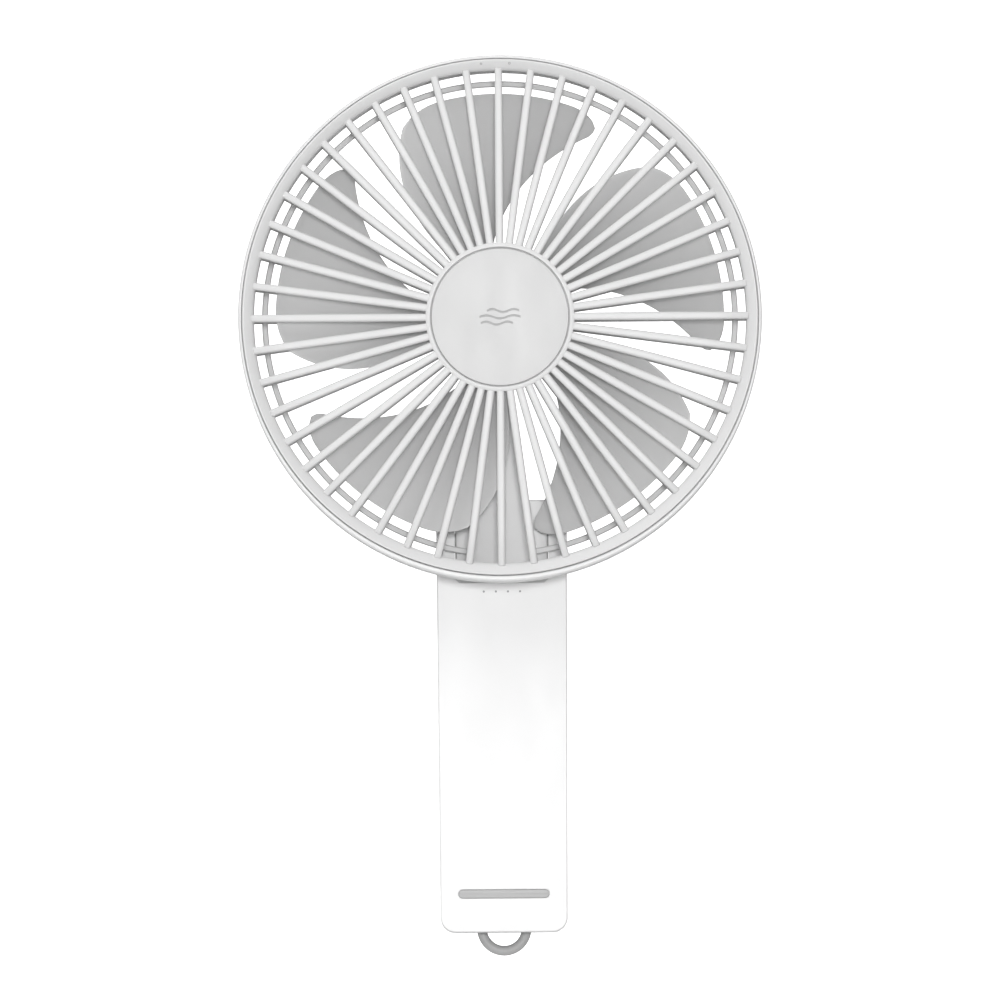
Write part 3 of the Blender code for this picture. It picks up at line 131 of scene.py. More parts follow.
class Graph:
    """A material's node tree, with its Principled shader to feed."""

    def __init__(self, name: str) -> None:
        """Start a new material.

        Args:
            name: the material's name.
        """
        self.material = bpy.data.materials.new(name)
        self.material.use_nodes = True
        self.nodes = self.material.node_tree.nodes
        self.links = self.material.node_tree.links
        self.shader = self.nodes["Principled BSDF"]

    def add(self, kind: str, settings: dict | None = None, inputs: dict | None = None,
            output: str | int = 0) -> Wire:
        """Add one node.

        Args:
            kind: the node's type.
            settings: attributes that are set first, and "ramp" for a colour ramp's stops.
            inputs: values or wires for its sockets, by name or number.
            output: which output to return.

        Returns:
            The node's output as a wire.
        """
        node = self.nodes.new(kind)
        for key, value in (settings or {}).items():
            if key == "ramp":
                self._ramp(node.color_ramp, value)
            else:
                setattr(node, key, value)
        for key, value in (inputs or {}).items():
            self._feed(node.inputs[key], value)
        return Wire(self, node.outputs[output])

    def _ramp(self, ramp: bpy.types.ColorRamp, stops: Sequence[tuple[float, float]]) -> None:
        """Set a grey ramp's stops of (position, value)."""
        while len(ramp.elements) < len(stops):
            ramp.elements.new(0.5)
        for element, (position, value) in zip(ramp.elements, stops):
            element.position = position
            element.color = (value, value, value, 1)

    def _feed(self, socket: bpy.types.NodeSocket, value: Value) -> None:
        """Link a wire to a socket, or set its number."""
        if isinstance(value, Wire):
            self.links.new(value.socket, socket)
        else:
            socket.default_value = value

    def feed(self, **inputs: Value) -> None:
        """Set the shader's sockets, with underscores for spaces in their names."""
        for name, value in inputs.items():
            self._feed(self.shader.inputs[name.replace("_", " ")], value)

    def place(self) -> Wire:
        """The point on the piece in its own coordinates."""
        return self.add("ShaderNodeTexCoord", output="Object")

    def noise(self, place: Wire, scale: float, detail: float = 3.0, stretch: tuple = (1, 1, 1)) -> Wire:
        """Noise from 0 to 1 at this many cells a metre."""
        turned = self.add("ShaderNodeMapping", inputs={"Vector": place, "Scale": stretch})
        return self.add("ShaderNodeTexNoise", inputs={"Vector": turned, "Scale": scale, "Detail": detail})

    def blend(self, mask: Value, first: tuple, second: tuple) -> Wire:
        """Two colours mixed by a mask."""
        node = self.nodes.new("ShaderNodeMix")
        node.data_type = "RGBA"
        for number, value in ((0, mask), (6, (*first, 1)), (7, (*second, 1))):
            self._feed(node.inputs[number], value)
        return Wire(self, node.outputs[2])

    def bump(self, height: Wire, strength: float, distance: float) -> Wire:
        """A normal bent by a height."""
        inputs = {"Strength": strength, "Distance": distance, "Height": height}
        return self.add("ShaderNodeBump", inputs=inputs)


def shaded(colour: tuple, factor: float) -> tuple:
    """A colour made lighter or darker."""
    return tuple(min(1.0, c * factor) for c in colour)


@dataclass(frozen=True)
class MouldedPlastic:
    """Satin plastic: a fine spark-eroded texture, a faint flow mottle and handling marks."""

    name: str
    colour: tuple
    roughness: float = 0.42
    grain: float = 5200.0
    bump: float = 0.10
    mottle: float = 0.985
    scatter: float = 0.0

    def make(self) -> bpy.types.Material:
        """Build the material.

        Returns:
            The finished material.
        """
        graph = Graph(self.name)
        place = graph.place()
        flow = graph.noise(place, 38.0, 2.0)
        handling = graph.noise(place, 140.0, 4.0, (1, 1, 0.35))
        grain = graph.noise(place, self.grain, 2.0)
        graph.feed(
            Base_Color=graph.blend(flow, self.colour, shaded(self.colour, self.mottle)),
            Roughness=self.roughness - 0.04 + handling * 0.09 + grain * 0.03,
            Normal=graph.bump(grain, self.bump, 0.00006),
            IOR=1.5,
            Subsurface_Weight=self.scatter,
        )
        if self.scatter:
            graph.shader.inputs["Subsurface Radius"].default_value = (0.0012, 0.0012, 0.0012)
        return graph.material


@dataclass(frozen=True)
class TurnedMetal:
    """Metal with the fine lines that turning or plating leaves."""

    name: str
    colour: tuple
    roughness: float = 0.28
    stretch: tuple = (1, 14, 1)

    def make(self) -> bpy.types.Material:
        """Build the material.

        Returns:
            The finished material.
        """
        graph = Graph(self.name)
        place = graph.place()
        lines = graph.noise(place, 900.0, 3.0, self.stretch)
        stain = graph.noise(place, 160.0, 3.0)
        graph.feed(
            Base_Color=graph.blend(stain, self.colour, shaded(self.colour, 0.86)),
            Roughness=self.roughness + lines * 0.16,
            Metallic=1.0,
            Normal=graph.bump(lines, 0.15, 0.00003),
        )
        return graph.material


@dataclass(frozen=True)
class WoundWire:
    """Coils of enamelled wire, as fine parallel ridges, with painted shade in the darker bands between the
    turns.
    """

    name: str
    colour: tuple

    def make(self) -> bpy.types.Material:
        """Build the material.

        Returns:
            The finished material.
        """
        graph = Graph(self.name)
        place = graph.place()
        wave = graph.add("ShaderNodeTexWave", {"wave_type": "BANDS", "bands_direction": "Y"},
                         {"Vector": place, "Scale": 900.0, "Distortion": 0.6}, output=1)
        # The darker bands in the base colour are painted shade between the turns.
        graph.feed(
            Base_Color=graph.blend(wave, shaded(self.colour, 0.55), self.colour),
            Roughness=0.22 + wave * 0.12,
            Metallic=1.0,
            Normal=graph.bump(wave, 0.6, 0.0001),
        )
        return graph.material


@dataclass(frozen=True)
class CircuitBoard:
    """Solder mask with the faint relief of its tracks."""

    name: str
    colour: tuple

    def make(self) -> bpy.types.Material:
        """Build the material.

        Returns:
            The finished material.
        """
        graph = Graph(self.name)
        place = graph.place()
        tracks = graph.add("ShaderNodeTexVoronoi", {"distance": "MANHATTAN"},
                           {"Vector": place, "Scale": 420.0})
        edge = graph.add("ShaderNodeValToRGB", {"ramp": ((0.42, 0.0), (0.5, 1.0))}, {"Fac": tracks})
        graph.feed(
            Base_Color=graph.blend(edge, self.colour, shaded(self.colour, 1.7)),
            Roughness=0.34 + edge * 0.12,
            Normal=graph.bump(edge, 0.3, 0.00004),
        )
        return graph.material


def finish(maker: type, *settings: object, **named: object) -> bpy.types.Material:
    """A palette's field that makes its material once, by this maker with these settings."""
    return field(default_factory=lambda: maker(*settings, **named).make())


def grey(value: float) -> tuple:
    """A neutral grey."""
    return (value, value, value)


@dataclass(frozen=True)
class Palette:
    """The fan's finishes, each made once."""

    casing: bpy.types.Material = finish(MouldedPlastic, "casing_white", grey(0.855), 0.38, scatter=0.06)
    grille: bpy.types.Material = finish(MouldedPlastic, "grille_pale_grey", grey(0.695), 0.40, 4600.0, 0.12)
    badge: bpy.types.Material = finish(MouldedPlastic, "badge_satin_grey", grey(0.52), 0.34, 6000.0, 0.08)
    engraving: bpy.types.Material = finish(MouldedPlastic, "engraved_grey", grey(0.42), 0.5, 4000.0, 0.15)
    # The lead arm's grey is painted lighter than the grille grey that it really is: painted light where the
    # blades shade it.
    arm_painted_lighter: bpy.types.Material = finish(MouldedPlastic, "bracket_light_grey", grey(0.84), 0.42, 4600.0, 0.12)
    blade: bpy.types.Material = finish(MouldedPlastic, "blade_grey", grey(0.62), 0.44, 3600.0, 0.12, 0.97)
    trim: bpy.types.Material = finish(MouldedPlastic, "trim_grey", grey(0.50), 0.5, 3000.0, 0.2, 0.96)
    black: bpy.types.Material = finish(
        MouldedPlastic, "moulded_black", (0.03, 0.03, 0.032), 0.5, 2600.0, 0.25, 0.8)
    lamp: bpy.types.Material = finish(MouldedPlastic, "lamp_diffuser", (0.34, 0.34, 0.35), 0.65, 5000.0, 0.05)
    wrap: bpy.types.Material = finish(
        MouldedPlastic, "cell_wrap_blue", (0.03, 0.12, 0.35), 0.3, 900.0, 0.1, 0.9)
    steel: bpy.types.Material = finish(TurnedMetal, "plated_steel", (0.6, 0.6, 0.61))
    bronze: bpy.types.Material = finish(TurnedMetal, "sintered_bronze", (0.5, 0.32, 0.14), 0.42)
    copper: bpy.types.Material = finish(WoundWire, "coil_copper", (0.75, 0.33, 0.16))
    board: bpy.types.Material = finish(CircuitBoard, "board_green", (0.01, 0.09, 0.035))


# ---------------------------------------------------------------- modelling bench


class Bench:
    """Mesh work by Blender's own operators, one piece at a time."""

    @staticmethod
    def clear() -> None:
        """Leave nothing selected, in object mode."""
        if bpy.context.object and bpy.context.mode != "OBJECT":
            bpy.ops.object.mode_set(mode="OBJECT")
        bpy.ops.object.select_all(action="DESELECT")

    @staticmethod
    def activate(obj: bpy.types.Object) -> None:
        """Select this object alone and make it active."""
        Bench.clear()
        obj.select_set(True)
        bpy.context.view_layer.objects.active = obj

    @staticmethod
    def edit(obj: bpy.types.Object, everything: bool = True) -> None:
        """Open the object in edit mode, with all or nothing selected."""
        Bench.activate(obj)
        bpy.ops.object.mode_set(mode="EDIT")
        bpy.ops.mesh.select_all(action="SELECT" if everything else "DESELECT")

    @staticmethod
    def pick(obj: bpy.types.Object, test: Callable[[Vector, Vector], bool]) -> None:
        """Select edges in edit mode by a test.

        Args:
            obj: the object in edit mode.
            test: called with an edge's two ends.
        """
        bpy.ops.mesh.select_mode(type="EDGE")
        mesh = bmesh.from_edit_mesh(obj.data)
        for edge in mesh.edges:
            edge.select_set(test(edge.verts[0].co, edge.verts[1].co))
        bmesh.update_edit_mesh(obj.data)

    @staticmethod
    def close(obj: bpy.types.Object) -> bpy.types.Object:
        """Merge doubles, turn the faces out and leave edit mode."""
        bpy.ops.mesh.select_mode(type="VERT")
        bpy.ops.mesh.select_all(action="SELECT")
        bpy.ops.mesh.remove_doubles(threshold=0.000002)
        bpy.ops.mesh.normals_make_consistent(inside=False)
        bpy.ops.object.mode_set(mode="OBJECT")
        return obj

    @staticmethod
    def block(low: Sequence[float], high: Sequence[float]) -> bpy.types.Object:
        """A block between two corners."""
        Bench.clear()
        bpy.ops.mesh.primitive_cube_add(size=1)
        obj = bpy.context.object
        size = [b - a for a, b in zip(low, high)]
        middle = [(a + b) / 2 for a, b in zip(low, high)]
        obj.data.transform(Matrix.Translation(middle) @ Matrix.Diagonal((*size, 1)))
        return obj

    @staticmethod
    def rod(radius: float, centre: Sequence[float], length: float, axis: str,
            sides: int = 48) -> bpy.types.Object:
        """A closed cylinder about its centre, along X, Y or Z."""
        Bench.clear()
        turn = {"X": (0, math.pi / 2, 0), "Y": (math.pi / 2, 0, 0), "Z": (0, 0, 0)}[axis]
        bpy.ops.mesh.primitive_cylinder_add(vertices=sides, radius=radius, depth=length, location=centre,
                                            rotation=turn)
        bpy.ops.object.transform_apply(location=True, rotation=True, scale=True)
        return bpy.context.object

    @staticmethod
    def turned(profile: Sequence[Point], centre: Sequence[float], steps: int = 192, ring: bool = True,
               sharp: float = 40.0) -> bpy.types.Object:
        """A profile extruded point by point and spun about an axis along Y.

        Args:
            profile: points of (radius, y).
            centre: a point on the axis.
            steps: how many facets round.
            ring: whether the profile closes on itself, or else starts and ends on the axis.
            sharp: the angle in degrees past which an edge stays sharp.

        Returns:
            The new object.
        """
        Bench.clear()
        bpy.ops.mesh.primitive_plane_add(size=0.001, location=(0, 0, 0))
        obj = bpy.context.object
        Bench.edit(obj)
        bpy.ops.mesh.merge(type="CENTER")
        start = (centre[0], profile[0][1], centre[2] + profile[0][0])
        bpy.ops.transform.translate(value=start)
        for (r0, y0), (r1, y1) in zip(profile, profile[1:]):
            bpy.ops.mesh.extrude_vertices_move(TRANSFORM_OT_translate={"value": (0, y1 - y0, r1 - r0)})
        bpy.ops.mesh.select_all(action="SELECT")
        bpy.ops.mesh.spin(steps=steps, angle=2 * math.pi, center=centre, axis=(0, 1, 0), use_auto_merge=False)
        if ring:
            Bench._bridge_ends(obj, profile, centre)
        Bench.close(obj)
        return Bench.smooth(obj, sharp)

    @staticmethod
    def _bridge_ends(obj: bpy.types.Object, profile: Sequence[Point], centre: Sequence[float]) -> None:
        """Join the spun profile's first and last circles."""
        bpy.ops.mesh.select_mode(type="VERT")
        bpy.ops.mesh.select_all(action="SELECT")
        bpy.ops.mesh.remove_doubles(threshold=0.000002)
        ends, middle = (profile[0], profile[-1]), (centre[0], centre[2])

        def on_end(a: Vector, b: Vector) -> bool:
            """Whether an edge lies along one of the open circles."""
            return any(all(abs(p.y - y) < 1e-7 and abs(math.dist((p.x, p.z), middle) - radius) < 1e-6
                           for p in (a, b)) for radius, y in ends)

        Bench.pick(obj, on_end)
        bpy.ops.mesh.bridge_edge_loops()

    @staticmethod
    def smooth(obj: bpy.types.Object, sharp: float = 35.0) -> bpy.types.Object:
        """Shade smooth but for edges past this angle in degrees."""
        Bench.activate(obj)
        bpy.ops.object.shade_smooth_by_angle(angle=math.radians(sharp))
        return obj

    @staticmethod
    def modify(obj: bpy.types.Object, kind: str, **settings: object) -> bpy.types.Object:
        """Add a modifier and apply it."""
        Bench.activate(obj)
        modifier = obj.modifiers.new(kind.lower(), kind)
        for key, value in settings.items():
            setattr(modifier, key, value)
        bpy.ops.object.modifier_apply(modifier=modifier.name)
        return obj

    @staticmethod
    def bevel(obj: bpy.types.Object, width: float, segments: int, angle: float = 30.0) -> bpy.types.Object:
        """Round every edge that is sharper than this angle in degrees."""
        return Bench.modify(obj, "BEVEL", width=width, segments=segments, limit_method="ANGLE",
                            angle_limit=math.radians(angle))

    @staticmethod
    def combine(obj: bpy.types.Object, tools: Iterable[bpy.types.Object],
                operation: str = "DIFFERENCE") -> bpy.types.Object:
        """Cut the object with tools, or join them to it, and remove the tools."""
        for tool in list(tools):
            Bench.modify(obj, "BOOLEAN", operation=operation, solver="EXACT", object=tool)
            bpy.data.objects.remove(tool, do_unlink=True)
        return obj

    @staticmethod
    def copy(obj: bpy.types.Object, matrix: Matrix) -> bpy.types.Object:
        """A copy with its own mesh, moved in its mesh."""
        twin = obj.copy()
        twin.data = obj.data.copy()
        twin.data.transform(matrix)
        bpy.context.collection.objects.link(twin)
        return twin

    @staticmethod
    def joined(objects: Sequence[bpy.types.Object]) -> bpy.types.Object:
        """Several objects as one."""
        Bench.activate(objects[0])
        for obj in objects[1:]:
            obj.select_set(True)
        bpy.ops.object.join()
        return bpy.context.object

    @staticmethod
    def about(centre: Vector, degrees: float) -> Matrix:
        """A turn about the fan's axis, clockwise as seen from the front."""
        turn = Matrix.Rotation(math.radians(degrees), 4, "Y")
        return Matrix.Translation(centre) @ turn @ Matrix.Translation(-centre)

    @staticmethod
    def dress(obj: bpy.types.Object, name: str, finish: bpy.types.Material, body: Body, slot: Slot,
              stands_for: Sequence[str] = ()) -> bpy.types.Object:
        """Name a finished piece, give it its finish and put it on its body.

        Args:
            obj: the piece.
            name: its name.
            finish: its material.
            body: what it moves with.
            slot: the record's slot that it belongs to; not used.
            stands_for: CAD nodes that it replaces.

        Returns:
            The same object.
        """
        obj.name = name
        obj.data.name = name
        if not obj.data.materials:
            obj.data.materials.append(finish)
        else:
            obj.data.materials[0] = finish
        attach(obj, body.value)
        if stands_for:
            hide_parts(*stands_for)
        LOG.info("%s: %d faces on %s", name, len(obj.data.polygons), body.value)
        return obj


def arc(centre: Point, radius: float, first: float, last: float, steps: int) -> list[Point]:
    """Points on an arc, with angles in degrees."""
    angles = [math.radians(first + (last - first) * k / steps) for k in range(steps + 1)]
    return [(centre[0] + radius * math.cos(t), centre[1] + radius * math.sin(t)) for t in angles]


@dataclass
class Layout:
    """Places that several sub-assemblies share, read from the frame."""

    grille: tuple[Vector, Vector] = field(default_factory=lambda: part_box("front_grille"))
    shell: tuple[Vector, Vector] = field(default_factory=lambda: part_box("head_shell"))
    handle_front: tuple[Vector, Vector] = field(default_factory=lambda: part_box("handle_front_shell"))
    handle_rear: tuple[Vector, Vector] = field(default_factory=lambda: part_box("handle_rear_shell"))
    pin: tuple[Vector, Vector] = field(default_factory=lambda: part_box("hinge_pin"))

    @property
    def axis(self) -> Vector:
        """A point on the fan's axis."""
        return Vector((0, 0, (self.shell[0].z + self.shell[1].z) / 2))

    @property
    def front(self) -> float:
        """The y of the front grille's face."""
        return self.grille[0].y

    @property
    def hinge(self) -> Vector:
        """The middle of the hinge pin."""
        return (self.pin[0] + self.pin[1]) / 2


# ---------------------------------------------------------------- head


@dataclass
class FrontGrille:
    """The twist-off grille: a bevelled ring, 48 round-backed ribs and a hub with a badge."""

    layout: Layout
    palette: Palette
    rib_count: int = 48
    rib_width: float = 2.12 * MM
    rib_depth: float = 2.8 * MM
    ring_width: float = 3.3 * MM
    ring_depth: float = 5.0 * MM
    ring_grow: float = 0.1 * MM
    hub_radius: float = 20.9 * MM
    hub_rim: float = 1.3 * MM

    def __post_init__(self) -> None:
        """Work out the radii that the frame gives."""
        low, high = self.layout.grille
        self.outer = (high.z - low.z) / 2 + self.ring_grow
        self.inner = self.outer - self.ring_width

    def ring(self) -> None:
        """The ring, with a bright outer bevel, a chamfer inside and the bayonet skirt behind."""
        y = self.layout.front
        back = self.layout.grille[1].y
        step = self.outer - 1.6 * MM
        profile = [
            (self.inner + 0.9 * MM, y + 0.46 * MM), (self.outer - 0.5 * MM, y + 0.04 * MM),
            (self.outer - 0.34 * MM, y), (self.outer - 0.12 * MM, y + 0.08 * MM), (self.outer, y + 0.35 * MM),
            (self.outer, y + self.ring_depth), (step - 0.25 * MM, y + self.ring_depth),
            (step - 0.35 * MM, back - 0.2 * MM), (step - 0.55 * MM, back), (step - 1.05 * MM, back),
            (step - 1.2 * MM, back - 0.2 * MM), (step - 1.2 * MM, y + self.ring_depth - 0.5 * MM),
            (self.inner + 0.1 * MM, y + self.ring_depth - 0.5 * MM),
            (self.inner, y + self.ring_depth - 0.7 * MM),
            (self.inner, y + 1.4 * MM), (self.inner + 0.2 * MM, y + 1.1 * MM),
        ]
        piece = Bench.turned(profile, self.layout.axis, 240)
        Bench.dress(piece, "grille_ring", self.palette.grille, Body.GRILLE, Slot.GRILLE, ["front_grille"])

    def ribs(self) -> None:
        """One rib, rounded along its front and at its outer end, copied round the hub."""
        y = self.layout.front + 0.25 * MM
        centre = self.layout.axis
        half = self.rib_width / 2
        rib = Bench.block((-half, y, centre.z + self.hub_radius - 0.6 * MM),
                          (half, y + self.rib_depth, centre.z + self.inner + 0.75 * MM))
        Bench.edit(rib, False)
        Bench.pick(rib, lambda a, b: max(a.y, b.y) < y + 1e-6 and abs(a.z - b.z) > 0.01)
        bpy.ops.mesh.bevel(offset=half * 0.6, segments=4, profile=0.5)
        Bench.pick(rib, lambda a, b: min(a.z, b.z) > centre.z + self.inner and (a + b).y / 2 < y + 1.2 * MM)
        bpy.ops.mesh.bevel(offset=0.3 * MM, segments=2, profile=0.5)
        Bench.edit(rib, True)
        for share in (0.25, 0.5, 0.75):
            z = centre.z + self.hub_radius + (self.inner - self.hub_radius) * share
            bpy.ops.mesh.select_all(action="SELECT")
            bpy.ops.mesh.bisect(plane_co=(0, 0, z), plane_no=(0, 0, 1))
        Bench.close(rib)
        for vert in rib.data.vertices:
            reach = (vert.co.z - centre.z - self.hub_radius) / (self.inner - self.hub_radius)
            belly = 0.08 * math.sin(math.pi * max(0.0, min(1.0, reach)))
            vert.co.x *= 1.0 + belly - 0.1 * max(0.0, reach - 0.7)
        turns = [Bench.about(centre, 360 * k / self.rib_count) for k in range(1, self.rib_count)]
        piece = Bench.smooth(Bench.joined([rib, *(Bench.copy(rib, turn) for turn in turns)]), 50)
        Bench.dress(piece, "grille_ribs", self.palette.grille, Body.GRILLE, Slot.GRILLE)

    def hub(self) -> None:
        """The hub's flange and floor, open in front for the badge."""
        y = self.layout.front
        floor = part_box("hub_badge")[1].y + 0.25 * MM
        inner = self.hub_radius - self.hub_rim
        profile = [
            (0, floor), (inner, floor), (inner, y + 0.25 * MM), (inner + 0.12 * MM, y + 0.12 * MM),
            (self.hub_radius - 0.4 * MM, y + 0.12 * MM), (self.hub_radius - 0.12 * MM, y + 0.22 * MM),
            (self.hub_radius, y + 0.5 * MM), (self.hub_radius, y + 3.1 * MM),
            (self.hub_radius - 0.2 * MM, y + 3.3 * MM),
            (0, y + 3.3 * MM),
        ]
        piece = Bench.turned(profile, self.layout.axis, 144, ring=False)
        Bench.dress(piece, "grille_hub", self.palette.grille, Body.GRILLE, Slot.GRILLE)

    def badge(self) -> None:
        """The badge disc, very slightly dished, with three engraved breeze lines."""
        low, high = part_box("hub_badge")
        radius = (high.z - low.z) / 2
        y = low.y
        profile = [
            (0, y + 0.1 * MM), (radius * 0.5, y + 0.08 * MM), (radius - 0.5 * MM, y + 0.02 * MM),
            (radius - 0.2 * MM, y), (radius, y + 0.22 * MM), (radius, high.y), (0, high.y),
        ]
        disc = Bench.turned(profile, self.layout.axis, 144, ring=False)
        Bench.combine(disc, [self.breeze_line(row, y) for row in (-1, 0, 1)])
        Bench.smooth(disc, 30)
        Bench.dress(disc, "badge_disc", self.palette.badge, Body.GRILLE, Slot.GRILLE, ["hub_badge"])
        fills = Bench.joined([self.breeze_line(row, y, 0.5) for row in (-1, 0, 1)])
        Bench.dress(fills, "badge_lines", self.palette.engraving, Body.GRILLE, Slot.TRIM)

    def breeze_line(self, row: int, y: float, fill: float = 1.0) -> bpy.types.Object:
        """One wavy bar of the badge's mark.

        Args:
            row: which line, from -1 at the foot to 1 at the top.
            y: the badge's face.
            fill: below 1, the bar that fills the foot of the groove.

        Returns:
            The bar as a closed solid.
        """
        length, wave, width = (11.5 - 2.5 * abs(row)) * MM, 0.42 * MM, (0.62 if fill == 1 else 0.58) * MM
        shift = 0.9 * MM * row
        start = (-length / 2 + shift, 0, self.layout.axis.z + row * 1.75 * MM)
        front = y - 0.6 * MM if fill == 1 else y + 0.2 * MM
        Bench.clear()
        bpy.ops.mesh.primitive_plane_add(size=0.001, location=(0, 0, 0))
        bar = bpy.context.object
        Bench.edit(bar)
        bpy.ops.mesh.merge(type="CENTER")
        bpy.ops.transform.translate(value=(start[0], front, start[2] - width / 2))
        steps = 36
        height = [wave * math.sin(2 * math.pi * 1.5 * k / steps) for k in range(steps + 1)]
        for before, after in zip(height, height[1:]):
            pace = (length / steps, 0, after - before)
            bpy.ops.mesh.extrude_vertices_move(TRANSFORM_OT_translate={"value": pace})
        bpy.ops.mesh.select_all(action="SELECT")
        bpy.ops.mesh.extrude_region_move(TRANSFORM_OT_translate={"value": (0, 0, width)})
        bpy.ops.mesh.select_all(action="SELECT")
        depth = y + 0.36 * MM - front
        bpy.ops.mesh.extrude_region_move(TRANSFORM_OT_translate={"value": (0, depth, 0)})
        return Bench.close(bar)

    def marks(self) -> None:
        """The release and lock marks, a dot and a small ring set in the ring's top, flush with its face."""
        face = self.layout.front
        foot = face + 0.3 * MM
        outer = 0.36 * MM
        radius = self.outer - 1.2 * MM
        for name, degrees, inner in (("mark_release", -3.9, 0.0), ("mark_lock", 2.5, 0.18 * MM)):
            turn = math.radians(degrees)
            spot = (radius * math.sin(turn), 0, self.layout.axis.z + radius * math.cos(turn))
            if inner:
                profile = [(outer, foot), (outer, face), (inner, face), (inner, foot)]
            else:
                profile = [(0, foot), (outer, foot), (outer, face), (0, face)]
            piece = Bench.turned(profile, spot, 24, ring=inner > 0)
            Bench.dress(piece, name, self.palette.engraving, Body.GRILLE, Slot.TRIM)

    def build(self) -> None:
        """Build every piece of the front grille."""
        self.ring()
        self.ribs()
        self.hub()
        self.badge()
        self.marks()


@dataclass
class HeadShell:
    """The white ring round the head, with a lip that widens towards the bottom and a rounded back."""

    layout: Layout
    palette: Palette
    lip: float = 0.9 * MM
    wall: float = 2.2 * MM
    back_round: float = 3.0 * MM
    lug_reach: float = 0.76 * MM
    sag: float = 0.7 * MM

    def build(self) -> None:
        """Turn the shell, widen its lip towards the bottom, and add its bayonet lugs."""
        low, high = self.layout.shell
        outer = (high.z - low.z) / 2
        seat, back, front = outer - self.wall, high.y, low.y
        lip_foot = self.layout.front + 5.3 * MM
        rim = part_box("rear_grille")[1].y + 0.3 * MM
        lip_inner = seat - 1.3 * MM
        profile = [
            (outer - self.lip, front + 0.35 * MM), (outer - self.lip + 0.1 * MM, front + 0.12 * MM),
            (outer - self.lip * 0.5, front), (outer - 0.15 * MM, front + 0.2 * MM), (outer, front + 0.6 * MM),
            *arc((outer - self.back_round, back - self.back_round), self.back_round, 0, 90, 10),
            (lip_inner + 0.2 * MM, back), (lip_inner, back - 0.2 * MM), (lip_inner, rim), (seat, rim),
            (seat, lip_foot), (outer - self.lip, lip_foot),
        ]
        shell = Bench.turned(profile, self.layout.axis, 240)
        middle = self.layout.axis.z
        for vert in shell.data.vertices:
            reach = math.hypot(vert.co.x, vert.co.z - middle)
            down = max(0.0, (middle - vert.co.z) / reach)
            share = min(1.0, max(0.0, (reach - outer + self.lip) / (self.lip * 0.7)))
            vert.co.z -= self.sag * down * share
        Bench.dress(shell, "head_casing", self.palette.casing, Body.HEAD, Slot.CASING, ["head_shell"])
        self.lugs(seat)

    def lugs(self, seat: float) -> None:
        """The four bayonet lugs inside the shell."""
        centre = self.layout.axis
        y = self.layout.front + 7.1 * MM
        lug = Bench.block((-7 * MM, y, centre.z + seat - self.lug_reach),
                          (7 * MM, y + 1.2 * MM, centre.z + seat + 0.4 * MM))
        Bench.edit(lug, True)
        bpy.ops.mesh.subdivide(number_cuts=3)
        bpy.ops.object.mode_set(mode="OBJECT")
        for vert in lug.data.vertices:
            vert.co.z -= seat - math.sqrt(seat**2 - vert.co.x**2)
        Bench.bevel(lug, 0.15 * MM, 2)
        copies = [Bench.copy(lug, Bench.about(centre, 45 + 90 * k)) for k in range(4)]
        bpy.data.objects.remove(lug, do_unlink=True)
        piece = Bench.smooth(Bench.joined(copies))
        Bench.dress(piece, "bayonet_lugs", self.palette.casing, Body.HEAD, Slot.CASING)


